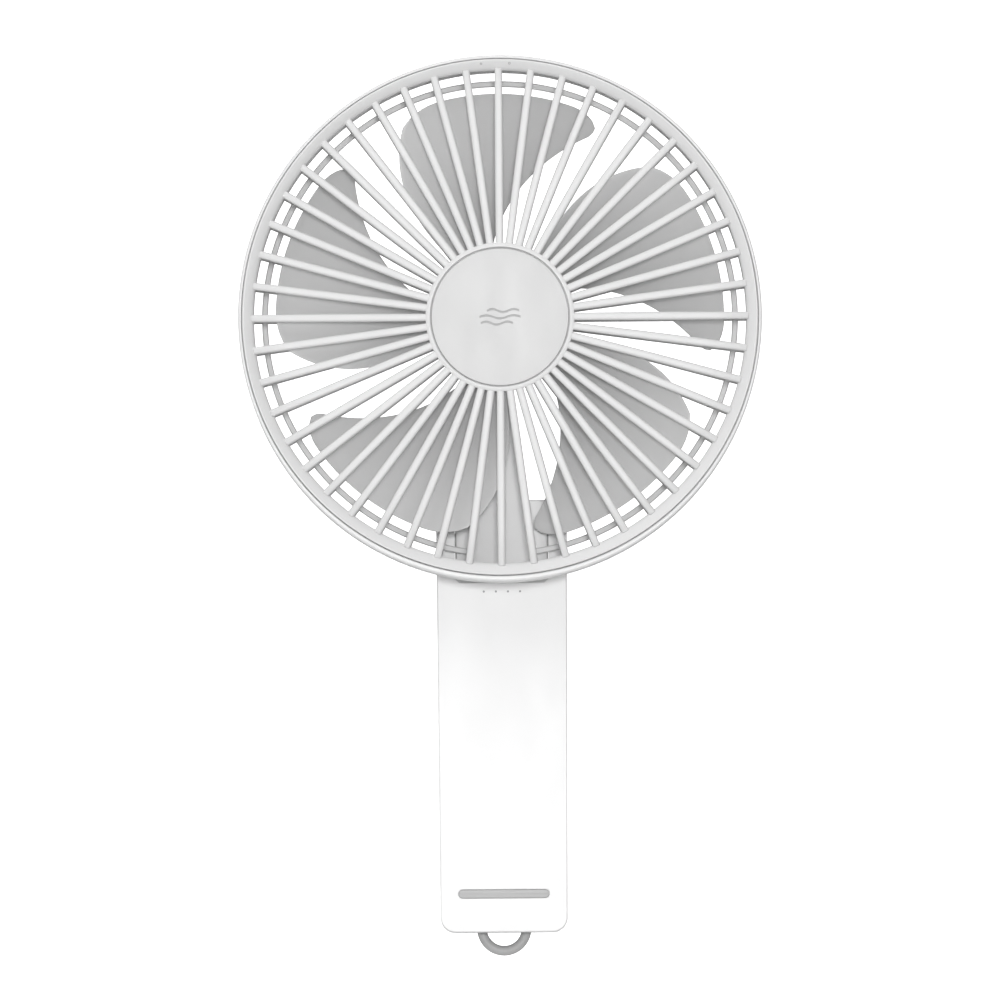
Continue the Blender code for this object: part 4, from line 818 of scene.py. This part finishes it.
@dataclass
class RearGrille:
    """The fixed grille behind the blades: rim, inner ring, ribs, plate and the lead's arm."""

    layout: Layout
    palette: Palette
    rib_count: int = 48
    rib_width: float = 2.0 * MM
    ring_outer: float = 66.8 * MM
    ring_width: float = 1.7 * MM
    plate: float = 18 * MM
    arm_half_angle: float = 7.2

    def __post_init__(self) -> None:
        """Read the grille's depth and rim from the frame."""
        low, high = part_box("rear_grille")
        self.front, self.back = low.y, high.y
        self.rim = (high.z - low.z) / 2

    def rings(self) -> None:
        """The rim that the shell holds, and the ring inside it."""
        centre = self.layout.axis
        soft = 0.3 * MM
        for name, outer, width, nodes in (("rear_rim", self.rim, 1.9 * MM, ["rear_grille"]),
                                          ("rear_ring", self.ring_outer, self.ring_width, [])):
            y0, y1 = self.front + 0.2 * MM * (not nodes), self.back - 0.3 * MM * (not nodes)
            profile = [(outer - soft, y0), (outer, y0 + soft), (outer, y1 - soft), (outer - soft, y1),
                       (outer - width + soft, y1), (outer - width, y1 - soft), (outer - width, y0 + soft),
                       (outer - width + soft, y0)]
            Bench.dress(Bench.turned(profile, centre, 240), name, self.palette.grille, Body.HEAD, Slot.GRILLE,
                        nodes)

    def ribs(self) -> None:
        """Ribs in line with the front grille's, but where the arm stands."""
        centre = self.layout.axis
        half = self.rib_width / 2
        y0 = self.front + 0.15 * MM
        y1 = self.back - 0.15 * MM
        rib = Bench.block((-half, y0, centre.z + self.plate - 0.5 * MM),
                          (half, y1, centre.z + self.rim - 1 * MM))
        Bench.edit(rib, False)
        Bench.pick(rib, lambda a, b: abs(a.z - b.z) > 0.01)
        bpy.ops.mesh.bevel(offset=half * 0.6, segments=3, profile=0.5)
        Bench.close(rib)
        kept = [k for k in range(self.rib_count) if abs(360 * k / self.rib_count - 180) > self.arm_half_angle]
        copies = [Bench.copy(rib, Bench.about(centre, 360 * k / self.rib_count)) for k in kept]
        bpy.data.objects.remove(rib, do_unlink=True)
        piece = Bench.smooth(Bench.joined(copies), 50)
        Bench.dress(piece, "rear_ribs", self.palette.grille, Body.HEAD, Slot.GRILLE)

    def arm(self) -> None:
        """The wedge that carries the lead from the motor to the hinge, with its groove behind."""
        centre = self.layout.axis
        y0, y1 = self.front + 0.12 * MM, self.back - 0.12 * MM
        top, foot = centre.z - self.plate + 1.5 * MM, centre.z - self.rim + 1.2 * MM
        arm = Bench.block((-1, y0, foot), (1, y1, top))
        slope = math.tan(math.radians(self.arm_half_angle))
        for vert in arm.data.vertices:
            vert.co.x = math.copysign((centre.z - vert.co.z) * slope, vert.co.x)
        groove = Bench.block((-1.2 * MM, self.back - 1.4 * MM, centre.z - self.ring_outer + 3 * MM),
                             (1.2 * MM, self.back + 3 * MM, centre.z - 12.5 * MM))
        low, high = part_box("knuckle_screw_1")
        holes = [Bench.rod(SCREW_HOLE, (side * (low.x + high.x) / 2, low.y + 9.8 * MM, (low.z + high.z) / 2),
                           20 * MM, "Y", 24) for side in (-1, 1)]
        Bench.combine(arm, [groove, *holes])
        Bench.bevel(arm, 0.25 * MM, 2)
        # The arm's lighter grey is painted light, standing in for light in its shade behind the blades.
        Bench.dress(Bench.smooth(arm), "lead_arm", self.palette.arm_painted_lighter, Body.HEAD, Slot.GRILLE)

    def motor_plate(self) -> None:
        """The plate behind the motor."""
        y0, y1 = self.front + 0.05 * MM, self.back - 0.05 * MM
        r = self.plate
        soft = 0.4 * MM
        profile = [(0, y0), (r - soft, y0), (r, y0 + soft), (r, y1 - soft), (r - soft, y1), (0, y1)]
        plate = Bench.turned(profile, self.layout.axis, 120, ring=False)
        Bench.dress(plate, "motor_plate", self.palette.grille, Body.HEAD, Slot.GRILLE)

    def motor_cover(self) -> None:
        """The dished cap over the motor's screws."""
        low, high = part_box("motor_rear_cover")
        r = (high.z - low.z) / 2
        profile = [(0, low.y), (r, low.y), (r, low.y + 0.4 * MM), (r - 0.25 * MM, high.y - 0.25 * MM),
                   (r - 0.7 * MM, high.y), (r - 2.2 * MM, high.y), (r - 2.5 * MM, high.y - 0.3 * MM),
                   (r * 0.5, high.y - 0.22 * MM), (0, high.y - 0.2 * MM)]
        cap = Bench.turned(profile, self.layout.axis, 144, ring=False)
        Bench.dress(cap, "motor_cap", self.palette.casing, Body.HEAD, Slot.CASING, ["motor_rear_cover"])

    def build(self) -> None:
        """Build every piece of the rear grille."""
        self.rings()
        self.ribs()
        self.arm()
        self.motor_plate()
        self.motor_cover()


@dataclass
class Impeller:
    """Five pitched, swept blades round a cup-shaped hub."""

    layout: Layout
    palette: Palette
    blade_count: int = 5
    tip: float = 62.9 * MM
    thickness: float = 1.5 * MM
    rise: float = 16 * MM
    hub: float = 16.5 * MM
    wall: float = 2.0 * MM
    corner: float = 4.5 * MM

    def __post_init__(self) -> None:
        """Read the impeller's depth from the frame."""
        self.low, self.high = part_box("impeller")

    def edges(self, radius: float) -> Point:
        """Angles in degrees of a blade's two edges at this radius."""
        sweep_from, rear_from, rear_to = 27 * MM, 21.8 * MM, 57.4 * MM
        share = max(0.0, (radius - sweep_from) / (self.tip - sweep_from))
        rear = min(1.0, (radius - rear_from) / (rear_to - rear_from))
        return 31.5 + 16.5 * share**2, 68.0 + 31.0 * rear

    def on_blade(self, u: float, v: float) -> Vector:
        """A point on a blade's front: u from edge to edge, v from root to tip."""
        root = self.hub - self.wall / 2
        near_edge = max(0.0, 1 - min(u, 1 - u) / 0.16)
        tip = self.tip - self.corner * (1 - math.sqrt(1 - 0.92 * near_edge**2))
        radius = root + (tip - root) * v
        first, last = self.edges(radius)
        angle = math.radians(first + (last - first) * u)
        camber = 0.8 * MM * math.sin(math.pi * u) * (1 - u)
        y = max(self.low.y + 0.8 * MM + (self.rise - self.thickness) * u - camber, self.low.y + 0.02 * MM)
        return Vector((radius * math.sin(angle), y, self.layout.axis.z + radius * math.cos(angle)))

    def blades(self) -> None:
        """A grid bent to the blade's surface, thickened, rounded at its rim and copied round."""
        Bench.clear()
        across, along = 36, 30
        bpy.ops.mesh.primitive_grid_add(x_subdivisions=across, y_subdivisions=along, size=1)
        blade = bpy.context.object
        for vert in blade.data.vertices:
            vert.co = self.on_blade(min(1.0, max(0.0, vert.co.x + 0.5)), min(1.0, max(0.0, vert.co.y + 0.5)))
        Bench.edit(blade)
        bpy.ops.mesh.extrude_region_move(TRANSFORM_OT_translate={"value": (0, self.thickness, 0)})
        Bench.close(blade)
        Bench.bevel(blade, 0.42 * MM, 3, 50)
        copies = [Bench.copy(blade, Bench.about(self.layout.axis, 360 * k / self.blade_count))
                  for k in range(self.blade_count)]
        bpy.data.objects.remove(blade, do_unlink=True)
        piece = Bench.smooth(Bench.joined(copies), 50)
        Bench.dress(piece, "blades", self.palette.blade, Body.ROTOR, Slot.BLADE)

    def cup(self) -> None:
        """The hub that the blades grow from."""
        y0, y1 = self.low.y, self.high.y
        hole = 1.55 * MM
        profile = [
            (hole, y0 + 0.2 * MM), (hole + 0.2 * MM, y0), (self.hub - 1.2 * MM, y0),
            (self.hub - 0.35 * MM, y0 + 0.35 * MM),
            (self.hub, y0 + 1.2 * MM), (self.hub, y1 - 0.2 * MM), (self.hub - 0.2 * MM, y1),
            (self.hub - self.wall, y1), (self.hub - self.wall, y0 + self.wall), (hole, y0 + self.wall),
        ]
        cup = Bench.turned(profile, self.layout.axis, 144)
        Bench.dress(cup, "impeller_cup", self.palette.blade, Body.ROTOR, Slot.BLADE, ["impeller"])

    def build(self) -> None:
        """Build the cup and the blades."""
        self.cup()
        self.blades()


# ---------------------------------------------------------------- handle


@dataclass
class Knuckle:
    """The head's hinge barrel and its block, flush with the handle's round top."""

    layout: Layout
    palette: Palette

    def build(self) -> None:
        """Round a block's far edges into the barrel, cut its bores and add the friction discs."""
        low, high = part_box("hinge_knuckle")
        hinge = self.layout.hinge
        radius = (high.z - low.z) / 2
        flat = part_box("head_shell")[1].y + 0.3 * MM
        block = Bench.block((low.x, flat, low.z), (high.x, high.y, high.z))
        Bench.edit(block, False)
        Bench.pick(block, lambda a, b: min(a.y, b.y) > high.y - 1e-6 and abs(a.x - b.x) > 0.01)
        bpy.ops.mesh.bevel(offset=radius * 0.999, segments=28, profile=0.5)
        Bench.close(block)
        Bench.bevel(block, 0.35 * MM, 3, 50)
        pad = Bench.block((low.x * 0.8, low.y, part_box("rear_grille")[0].z + 3.8 * MM),
                          (high.x * 0.8, flat + 1 * MM, high.z - 0.8 * MM))
        Bench.combine(block, [pad], "UNION")
        bore = Bench.rod(HINGE_PIN_HOLE, hinge, 40 * MM, "X", 48)
        holes = self.screw_holes(high.y)
        seats = [Bench.rod(5.3 * MM, (side * (high.x + 1 * MM), hinge.y, hinge.z), 4.2 * MM, "X", 48)
                 for side in (-1, 1)]
        Bench.combine(block, [bore, *holes, *seats])
        Bench.dress(Bench.smooth(block, 40), "hinge_barrel", self.palette.casing, Body.HEAD, Slot.CASING,
                    ["hinge_knuckle"])
        self.friction_discs()

    def friction_discs(self) -> None:
        """Thin discs that take up the play between the barrel and the cheeks."""
        low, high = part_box("hinge_knuckle")
        radius, hinge = (high.z - low.z) / 2 - 0.25 * MM, self.layout.hinge
        for side, name in ((-1, "left"), (1, "right")):
            disc = Bench.rod(radius, (side * (high.x + 0.16 * MM), hinge.y, hinge.z), 0.28 * MM, "X", 96)
            Bench.combine(disc, [Bench.rod(5.4 * MM, (side * high.x, hinge.y, hinge.z), 4 * MM, "X", 48)])
            Bench.bevel(disc, 0.06 * MM, 2)
            Bench.dress(Bench.smooth(disc), f"friction_disc_{name}", self.palette.trim, Body.HEAD, Slot.TRIM)

    def screw_holes(self, back: float) -> list[bpy.types.Object]:
        """Bores for the two knuckle screws, with seats for their heads.

        Args:
            back: the barrel's rearmost y.

        Returns:
            The cutters.
        """
        cutters = []
        for name in ("knuckle_screw_1", "knuckle_screw_2"):
            low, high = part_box(name)
            x, z = (low.x + high.x) / 2, (low.z + high.z) / 2
            cutters.append(Bench.rod(SCREW_HOLE, (x, 0, z), 0.1, "Y", 24))
            seat, past = high.y - 1.05 * MM, back + MM
            cutters.append(Bench.rod(SCREW_HEAD_HOLE, (x, (seat + past) / 2, z), past - seat, "Y", 32))
        return cutters


@dataclass
class Handle:
    """The handle's two shells, its grey strip, its hinge lip, its button and its loop."""

    layout: Layout
    palette: Palette
    edge: float = 3.0 * MM
    foot_corner: float = 4.2 * MM
    width_foot: float = 35.7 * MM
    wall: float = 2.0 * MM
    cheek_gap: float = 26.3 * MM
    chamfer: float = 1.2 * MM
    lamp_pitch: float = 3.4 * MM

    def __post_init__(self) -> None:
        """Read the handle's faces from the frame."""
        low, high = self.layout.handle_front
        self.front, self.foot, self.top = low.y, low.z, high.z
        self.back = self.layout.handle_rear[1].y
        self.half = high.x
        self.slot_z = self.layout.hinge.z - (self.back - self.front) / 2 - 0.6 * MM

    def blank(self) -> bpy.types.Object:
        """The whole outer shape: a tapered block with a round top and soft edges."""
        block = Bench.block((-self.half, self.front, self.foot), (self.half, self.back, self.top))
        for vert in block.data.vertices:
            if vert.co.z < self.foot + 1e-6:
                vert.co.x = math.copysign(self.width_foot / 2, vert.co.x)
        depth = self.back - self.front
        Bench.edit(block, False)
        Bench.pick(block, lambda a, b: min(a.z, b.z) > self.top - 1e-6 and abs(a.x - b.x) > 0.01)
        bpy.ops.mesh.bevel(offset=depth / 2 * 0.9995, segments=32, profile=0.5)
        Bench.pick(block, lambda a, b: max(a.z, b.z) < self.foot + 1e-6 and abs(a.x - b.x) < 1e-6)
        bpy.ops.mesh.bevel(offset=self.foot_corner, segments=10, profile=0.5)
        Bench.close(block)
        return Bench.bevel(block, self.edge, 7, 40)

    def shared_cutters(self) -> list[bpy.types.Object]:
        """What both shells are cut by: the hinge slot, the cavity, and the loop's pocket."""
        half, z = self.cheek_gap / 2, self.slot_z
        slot = Bench.block((-half, self.front - 5 * MM, z), (half, self.back + 5 * MM, self.top + 5 * MM))
        Bench.edit(slot, False)
        Bench.pick(slot, lambda a, b: max(a.z, b.z) < z + 1e-6 and abs(a.y - b.y) > 0.01)
        bpy.ops.mesh.bevel(offset=self.chamfer, segments=1)
        Bench.close(slot)
        wide = self.width_foot / 2 - self.wall
        cavity = Bench.block((-wide, self.front + self.wall, self.foot + 8 * MM),
                             (wide, self.back - self.wall, z - 6 * MM))
        middle = self.layout.hinge.y
        pocket = Bench.block((-8.25 * MM, middle - 6 * MM, self.foot - 5 * MM),
                             (8.25 * MM, middle + 6 * MM, self.foot + 6.4 * MM))
        pin = Bench.rod(HINGE_PIN_HOLE, self.layout.hinge, 2 * (self.half - 1.6 * MM), "X", 48)
        low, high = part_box("loop_pin")
        loop_pin = Bench.rod(LOOP_PIN_HOLE, (low + high) / 2, high.x - low.x + 0.6 * MM, "X", 24)
        return [slot, cavity, pocket, pin, loop_pin]

    def half_shell(self, rear: bool) -> bpy.types.Object:
        """One shell: the blank cut along the seam, then by the shared cutters."""
        seam = self.layout.handle_rear[0].y if rear else self.layout.handle_front[1].y
        shell = self.blank()
        Bench.edit(shell)
        bpy.ops.mesh.bisect(plane_co=(0, seam, 0), plane_no=(0, -1 if rear else 1, 0), use_fill=True,
                            clear_outer=True)
        Bench.close(shell)
        return Bench.combine(shell, self.shared_cutters())

    def bar(self, length: float, height: float, centre: Vector, depth: float,
            soft: float = 0.0) -> bpy.types.Object:
        """A round-ended bar along X, centred on a point, with its front edge softened."""
        low = (centre.x - length / 2, centre.y - depth / 2, centre.z - height / 2)
        high = (centre.x + length / 2, centre.y + depth / 2, centre.z + height / 2)
        bar = Bench.block(low, high)
        Bench.edit(bar, False)
        Bench.pick(bar, lambda a, b: abs(a.y - b.y) > depth / 2)
        bpy.ops.mesh.bevel(offset=height / 2 * 0.999, segments=10, profile=0.5)
        if soft:
            Bench.pick(bar, lambda a, b: max(a.y, b.y) < low[1] + 1e-6)
            bpy.ops.mesh.bevel(offset=soft, segments=3, profile=0.5)
        return Bench.close(bar)

    def front_shell(self) -> None:
        """The front shell, with the strip's recess and the four lamp holes."""
        shell = self.half_shell(rear=False)
        low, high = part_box("accent_strip")
        middle = (low + high) / 2
        recess = self.bar(25.8 * MM, 2.7 * MM, Vector((0, self.front, middle.z)), 2.4 * MM)
        guide_low, guide_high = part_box("light_guide")
        lamp_z = (guide_low.z + guide_high.z) / 2
        holes = [Bench.rod(0.3 * MM, (self.lamp_pitch * (k - 1.5), self.front, lamp_z), 6 * MM, "Y", 24)
                 for k in range(4)]
        pocket = Bench.block((-7 * MM, self.front + self.wall, self.slot_z - 8 * MM),
                             (7 * MM, self.front + 7 * MM, self.slot_z - 0.8 * MM))
        Bench.combine(shell, [recess, *holes, pocket])
        self.soften(shell)
        Bench.dress(shell, "handle_face", self.palette.casing, Body.HANDLE, Slot.CASING,
                    ["handle_front_shell"])

    def rear_shell(self) -> None:
        """The rear shell, with holes for the button, the port and the case screws."""
        shell = self.half_shell(rear=True)
        low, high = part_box("power_button")
        button = (low + high) / 2
        hole = Bench.rod(5.15 * MM, (0, self.back, button.z), 8 * MM, "Y", 64)
        port_low, port_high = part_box("usb_socket")
        port = self.bar(9.6 * MM, 3.9 * MM, Vector((0, self.back, (port_low.z + port_high.z) / 2)), 8 * MM)
        screws = []
        for k in range(4):
            low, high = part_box(f"case_screw_{k + 1}")
            spot = ((low.x + high.x) / 2, self.back, (low.z + high.z) / 2)
            screws.append(Bench.rod(SCREW_HEAD_HOLE, spot, 3 * MM, "Y", 32))
            screws.append(Bench.rod(SCREW_HOLE, (spot[0], self.layout.hinge.y, spot[2]), 30 * MM, "Y", 24))
        Bench.combine(shell, [hole, port, *screws])
        self.soften(shell)
        Bench.dress(shell, "handle_back", self.palette.casing, Body.HANDLE, Slot.CASING,
                    ["handle_rear_shell"])

    def soften(self, shell: bpy.types.Object) -> None:
        """Break the cut edges by a hair, as a mould does."""
        Bench.bevel(shell, 0.16 * MM, 2, 38)
        Bench.smooth(shell, 32)
        Bench.modify(shell, "WEIGHTED_NORMAL", keep_sharp=True)

    def strip(self) -> None:
        """The grey strip, set a hair below the handle's face."""
        low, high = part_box("accent_strip")
        middle = (low + high) / 2
        strip = self.bar(high.x - low.x, high.z - low.z, middle, high.y - low.y, 0.22 * MM)
        Bench.dress(Bench.smooth(strip, 50), "grey_strip", self.palette.trim, Body.HANDLE, Slot.TRIM,
                    ["accent_strip"])

    def button(self) -> None:
        """The dished power button, with a fine line round its crown."""
        low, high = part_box("power_button")
        flange, face, radius = low.y, high.y, 5.0 * MM
        profile = [
            (0, flange), (high.x, flange), (high.x, flange + 0.9 * MM), (radius, flange + 0.9 * MM),
            (radius, face - 0.35 * MM), (radius - 0.12 * MM, face - 0.1 * MM), (radius - 0.4 * MM, face),
            (radius - 1.0 * MM, face - 0.02 * MM), (radius - 1.15 * MM, face - 0.14 * MM),
            (radius - 1.35 * MM, face - 0.14 * MM), (radius - 1.5 * MM, face - 0.06 * MM),
            (radius * 0.4, face - 0.2 * MM), (0, face - 0.24 * MM),
        ]
        centre = Vector((0, 0, (low.z + high.z) / 2))
        Bench.dress(Bench.turned(profile, centre, 96, ring=False, sharp=30), "button_cap", self.palette.trim,
                    Body.BUTTON, Slot.TRIM, ["power_button"])

    def slot_shade_lip(self) -> None:
        """A low grey lip along the slot's floor: painted shade, a grey sheet that stands in for the shade in
        the hinge slot.
        """
        half, y = self.cheek_gap / 2 + 0.1 * MM, self.front + 0.9 * MM
        lip = Bench.block((-half, y, self.slot_z - 0.1 * MM), (half, y + 1.0 * MM, self.slot_z + 1.7 * MM))
        Bench.edit(lip, False)
        Bench.pick(lip, lambda a, b: max(a.z, b.z) < self.slot_z and abs(a.y - b.y) > 0.5 * MM)
        bpy.ops.mesh.bevel(offset=self.chamfer, segments=1)
        Bench.close(lip)
        Bench.bevel(lip, 0.1 * MM, 2)
        # Painted shade: the lip's grey fills the slot's floor where there is only shade.
        Bench.dress(Bench.smooth(lip), "hinge_slot_shade_lip", self.palette.grille, Body.HANDLE, Slot.GRILLE)

    def loop(self) -> None:
        """The bent rod of the lanyard loop: half a torus drawn out into two legs."""
        low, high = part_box("lanyard_loop")
        tube, middle = (high.y - low.y) / 2, (low.y + high.y) / 2
        mean = (high.x - low.x) / 2 - tube
        centre = Vector((0, middle, low.z + mean + tube))
        Bench.clear()
        bpy.ops.mesh.primitive_torus_add(major_radius=mean, minor_radius=tube, major_segments=96,
                                         minor_segments=32, location=centre, rotation=(math.pi / 2, 0, 0))
        rod = bpy.context.object
        bpy.ops.object.transform_apply(location=True, rotation=True, scale=True)
        Bench.edit(rod)
        bpy.ops.mesh.bisect(plane_co=centre, plane_no=(0, 0, 1), clear_outer=True)
        Bench.pick(rod, lambda a, b: min(a.z, b.z) > centre.z - 1e-6)
        bpy.ops.mesh.extrude_region_move(TRANSFORM_OT_translate={"value": (0, 0, high.z - centre.z)})
        bpy.ops.mesh.select_all(action="SELECT")
        bpy.ops.mesh.fill_holes(sides=64)
        Bench.close(rod)
        pin_low, pin_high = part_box("loop_pin")
        eye = Bench.rod(LOOP_PIN_HOLE, (pin_low + pin_high) / 2, 30 * MM, "X", 24)
        Bench.combine(rod, [eye])
        Bench.bevel(rod, 0.3 * MM, 3, 55)
        Bench.dress(Bench.smooth(rod, 45), "wrist_loop", self.palette.trim, Body.LOOP, Slot.TRIM,
                    ["lanyard_loop"])

    def build(self) -> None:
        """Build every piece of the handle."""
        self.front_shell()
        self.rear_shell()
        self.strip()
        self.slot_shade_lip()
        self.button()
        self.loop()


@dataclass
class InnerParts:
    """CAD nodes that keep their shape and get a better finish."""

    palette: Palette

    def build(self) -> None:
        """Give each remaining CAD node its finish, by the slot that the record puts it in."""
        slots = {row["node"]: row["material_slot"] for row in frame["record"]["subparts"]}
        finishes = {
            "white_casing": self.palette.casing, "grille_grey": self.palette.grille,
            "blade_grey": self.palette.blade, "trim_grey": self.palette.trim,
            "steel": self.palette.steel, "copper": self.palette.copper,
            "bronze": self.palette.bronze, "ferrite": self.palette.black, "board": self.palette.board,
            "cell": self.palette.wrap, "lead": self.palette.black, "lamp": self.palette.lamp,
        }
        for name, node in frame["nodes"].items():
            node.data.materials.clear()
            node.data.materials.append(finishes[slots[name]])
            Bench.smooth(node, 35)
        LOG.info("inner parts: %d nodes dressed", len(frame["nodes"]))


# ---------------------------------------------------------------- studio


@dataclass
class Studio:
    """A white sweep, soft lights and a long lens in front of the fan."""

    layout: Layout
    distance: float = 12.0
    span: float = 0.28
    roll: float = 0.4
    elevation: float = -1.0
    sky_strength: float = 0.50
    target: Vector = field(default_factory=lambda: Vector((-0.00036, 0, 0.1273)))

    def camera(self) -> None:
        """The camera, aimed at the middle of the fan from far off and a little below."""
        data = bpy.data.cameras.new("long_lens")
        data.sensor_width = 36
        data.lens = data.sensor_width * self.distance / self.span
        data.clip_end = 100
        camera = bpy.data.objects.new("camera", data)
        bpy.context.scene.collection.objects.link(camera)
        rise = math.radians(self.elevation)
        front = Vector((self.target.x, self.layout.front, self.target.z))
        camera.location = front + Vector((0, -math.cos(rise), math.sin(rise))) * self.distance
        turn = Matrix.Rotation(math.pi / 2 - rise, 4, "X") @ Matrix.Rotation(math.radians(-self.roll), 4, "Z")
        camera.rotation_euler = turn.to_euler()
        bpy.context.scene.camera = camera

    def sweep(self) -> None:
        """A floor that curves up into a backdrop behind the fan."""
        Bench.clear()
        bpy.ops.mesh.primitive_plane_add(size=1, location=(0, 0, 0))
        floor = bpy.context.object
        half, near, back, height, ground = 4.0, -8.0, 2.2, 4.0, -0.22
        for vert in floor.data.vertices:
            vert.co = Vector((math.copysign(half, vert.co.x), back if vert.co.y > 0 else near, ground))
        Bench.edit(floor, False)
        Bench.pick(floor, lambda a, b: min(a.y, b.y) > back - 1e-6)
        bpy.ops.mesh.extrude_region_move(TRANSFORM_OT_translate={"value": (0, 0, height)})
        Bench.pick(floor, lambda a, b: min(a.y, b.y) > back - 1e-6 and max(a.z, b.z) < ground + 1e-6)
        bpy.ops.mesh.bevel(offset=1.0, segments=16, profile=0.5)
        Bench.close(floor)
        floor.name = "sweep"
        floor.data.materials.append(self.sweep_finish())
        Bench.smooth(floor, 60)

    def sweep_finish(self) -> bpy.types.Material:
        """Pale paper that glows behind the fan, where a backdrop light would fall.

        Returns:
            The sweep's material.
        """
        graph = Graph("sweep_pale")
        place = graph.place()
        axes = graph.add("ShaderNodeSeparateXYZ", inputs={0: place})
        side = Wire(graph, axes.socket.node.outputs["X"])
        depth = Wire(graph, axes.socket.node.outputs["Y"])
        middle = graph.add("ShaderNodeValToRGB", {"ramp": ((0.12, 1.0), (0.3, 0.0))}, {"Fac": side * side})
        behind = graph.add("ShaderNodeValToRGB", {"ramp": ((0.79, 0.0), (0.86, 1.0))}, {"Fac": depth * 0.5})
        glow = graph.blend(middle * behind, (0, 0, 0), (1, 1, 1))
        mottle = graph.noise(place, 6.0)
        graph.feed(Base_Color=graph.blend(mottle, (0.72, 0.72, 0.72), (0.70, 0.70, 0.70)), Roughness=0.85,
                   Emission_Color=glow, Emission_Strength=1.1)
        return graph.material

    def lights(self) -> None:
        """A soft top light to the left, a fill by the camera and a sky that is darker at the sides."""
        self.lamp("top_left", (-0.8, -1.7, 1.8), 2.0, 25.0)
        self.lamp("front", (0.1, -6.0, 0.3), 0.5, 132.0)
        self.sky()
        bpy.context.scene.view_settings.view_transform = "Standard"

    def sky(self) -> None:
        """An even sky that darkens to either side, as black flags beside the fan would make it."""
        world = bpy.data.worlds.new("flagged_sky")
        world.use_nodes = True
        nodes, links = world.node_tree.nodes, world.node_tree.links
        around = nodes.new("ShaderNodeTexCoord")
        split = nodes.new("ShaderNodeSeparateXYZ")
        ramp = nodes.new("ShaderNodeValToRGB")
        size = nodes.new("ShaderNodeMath")
        size.operation = "ABSOLUTE"
        links.new(around.outputs["Generated"], split.inputs[0])
        links.new(split.outputs["X"], size.inputs[0])
        links.new(size.outputs[0], ramp.inputs[0])
        links.new(ramp.outputs[0], nodes["Background"].inputs["Color"])
        for element, (position, value) in zip(ramp.color_ramp.elements, ((0.45, 1.0), (0.9, 0.12))):
            element.position = position
            element.color = (value, value, value, 1)
        nodes["Background"].inputs["Strength"].default_value = self.sky_strength
        bpy.context.scene.world = world

    def lamp(self, name: str, place: tuple, size: float, power: float) -> None:
        """One square area light aimed at the fan's middle.

        Args:
            name: the light's name.
            place: where it stands.
            size: its side.
            power: its power in watts.
        """
        data = bpy.data.lights.new(name, "AREA")
        data.size = size
        data.energy = power
        light = bpy.data.objects.new(name, data)
        light.location = place
        towards = self.target - Vector(place)
        light.rotation_euler = towards.to_track_quat("-Z", "Y").to_euler()
        bpy.context.scene.collection.objects.link(light)

    def build(self) -> None:
        """Set up the camera, the sweep and the lights."""
        self.camera()
        self.sweep()
        self.lights()


def main() -> None:
    """Build the fan's looks in order."""
    logging.basicConfig(level=logging.INFO, format="%(name)s: %(message)s")
    layout, palette = Layout(), Palette()
    Studio(layout).build()
    InnerParts(palette).build()
    for assembly in (
        HeadShell(layout, palette), FrontGrille(layout, palette), RearGrille(layout, palette),
        Impeller(layout, palette), Knuckle(layout, palette), Handle(layout, palette),
    ):
        assembly.build()


if __name__ == "__main__":
    main()
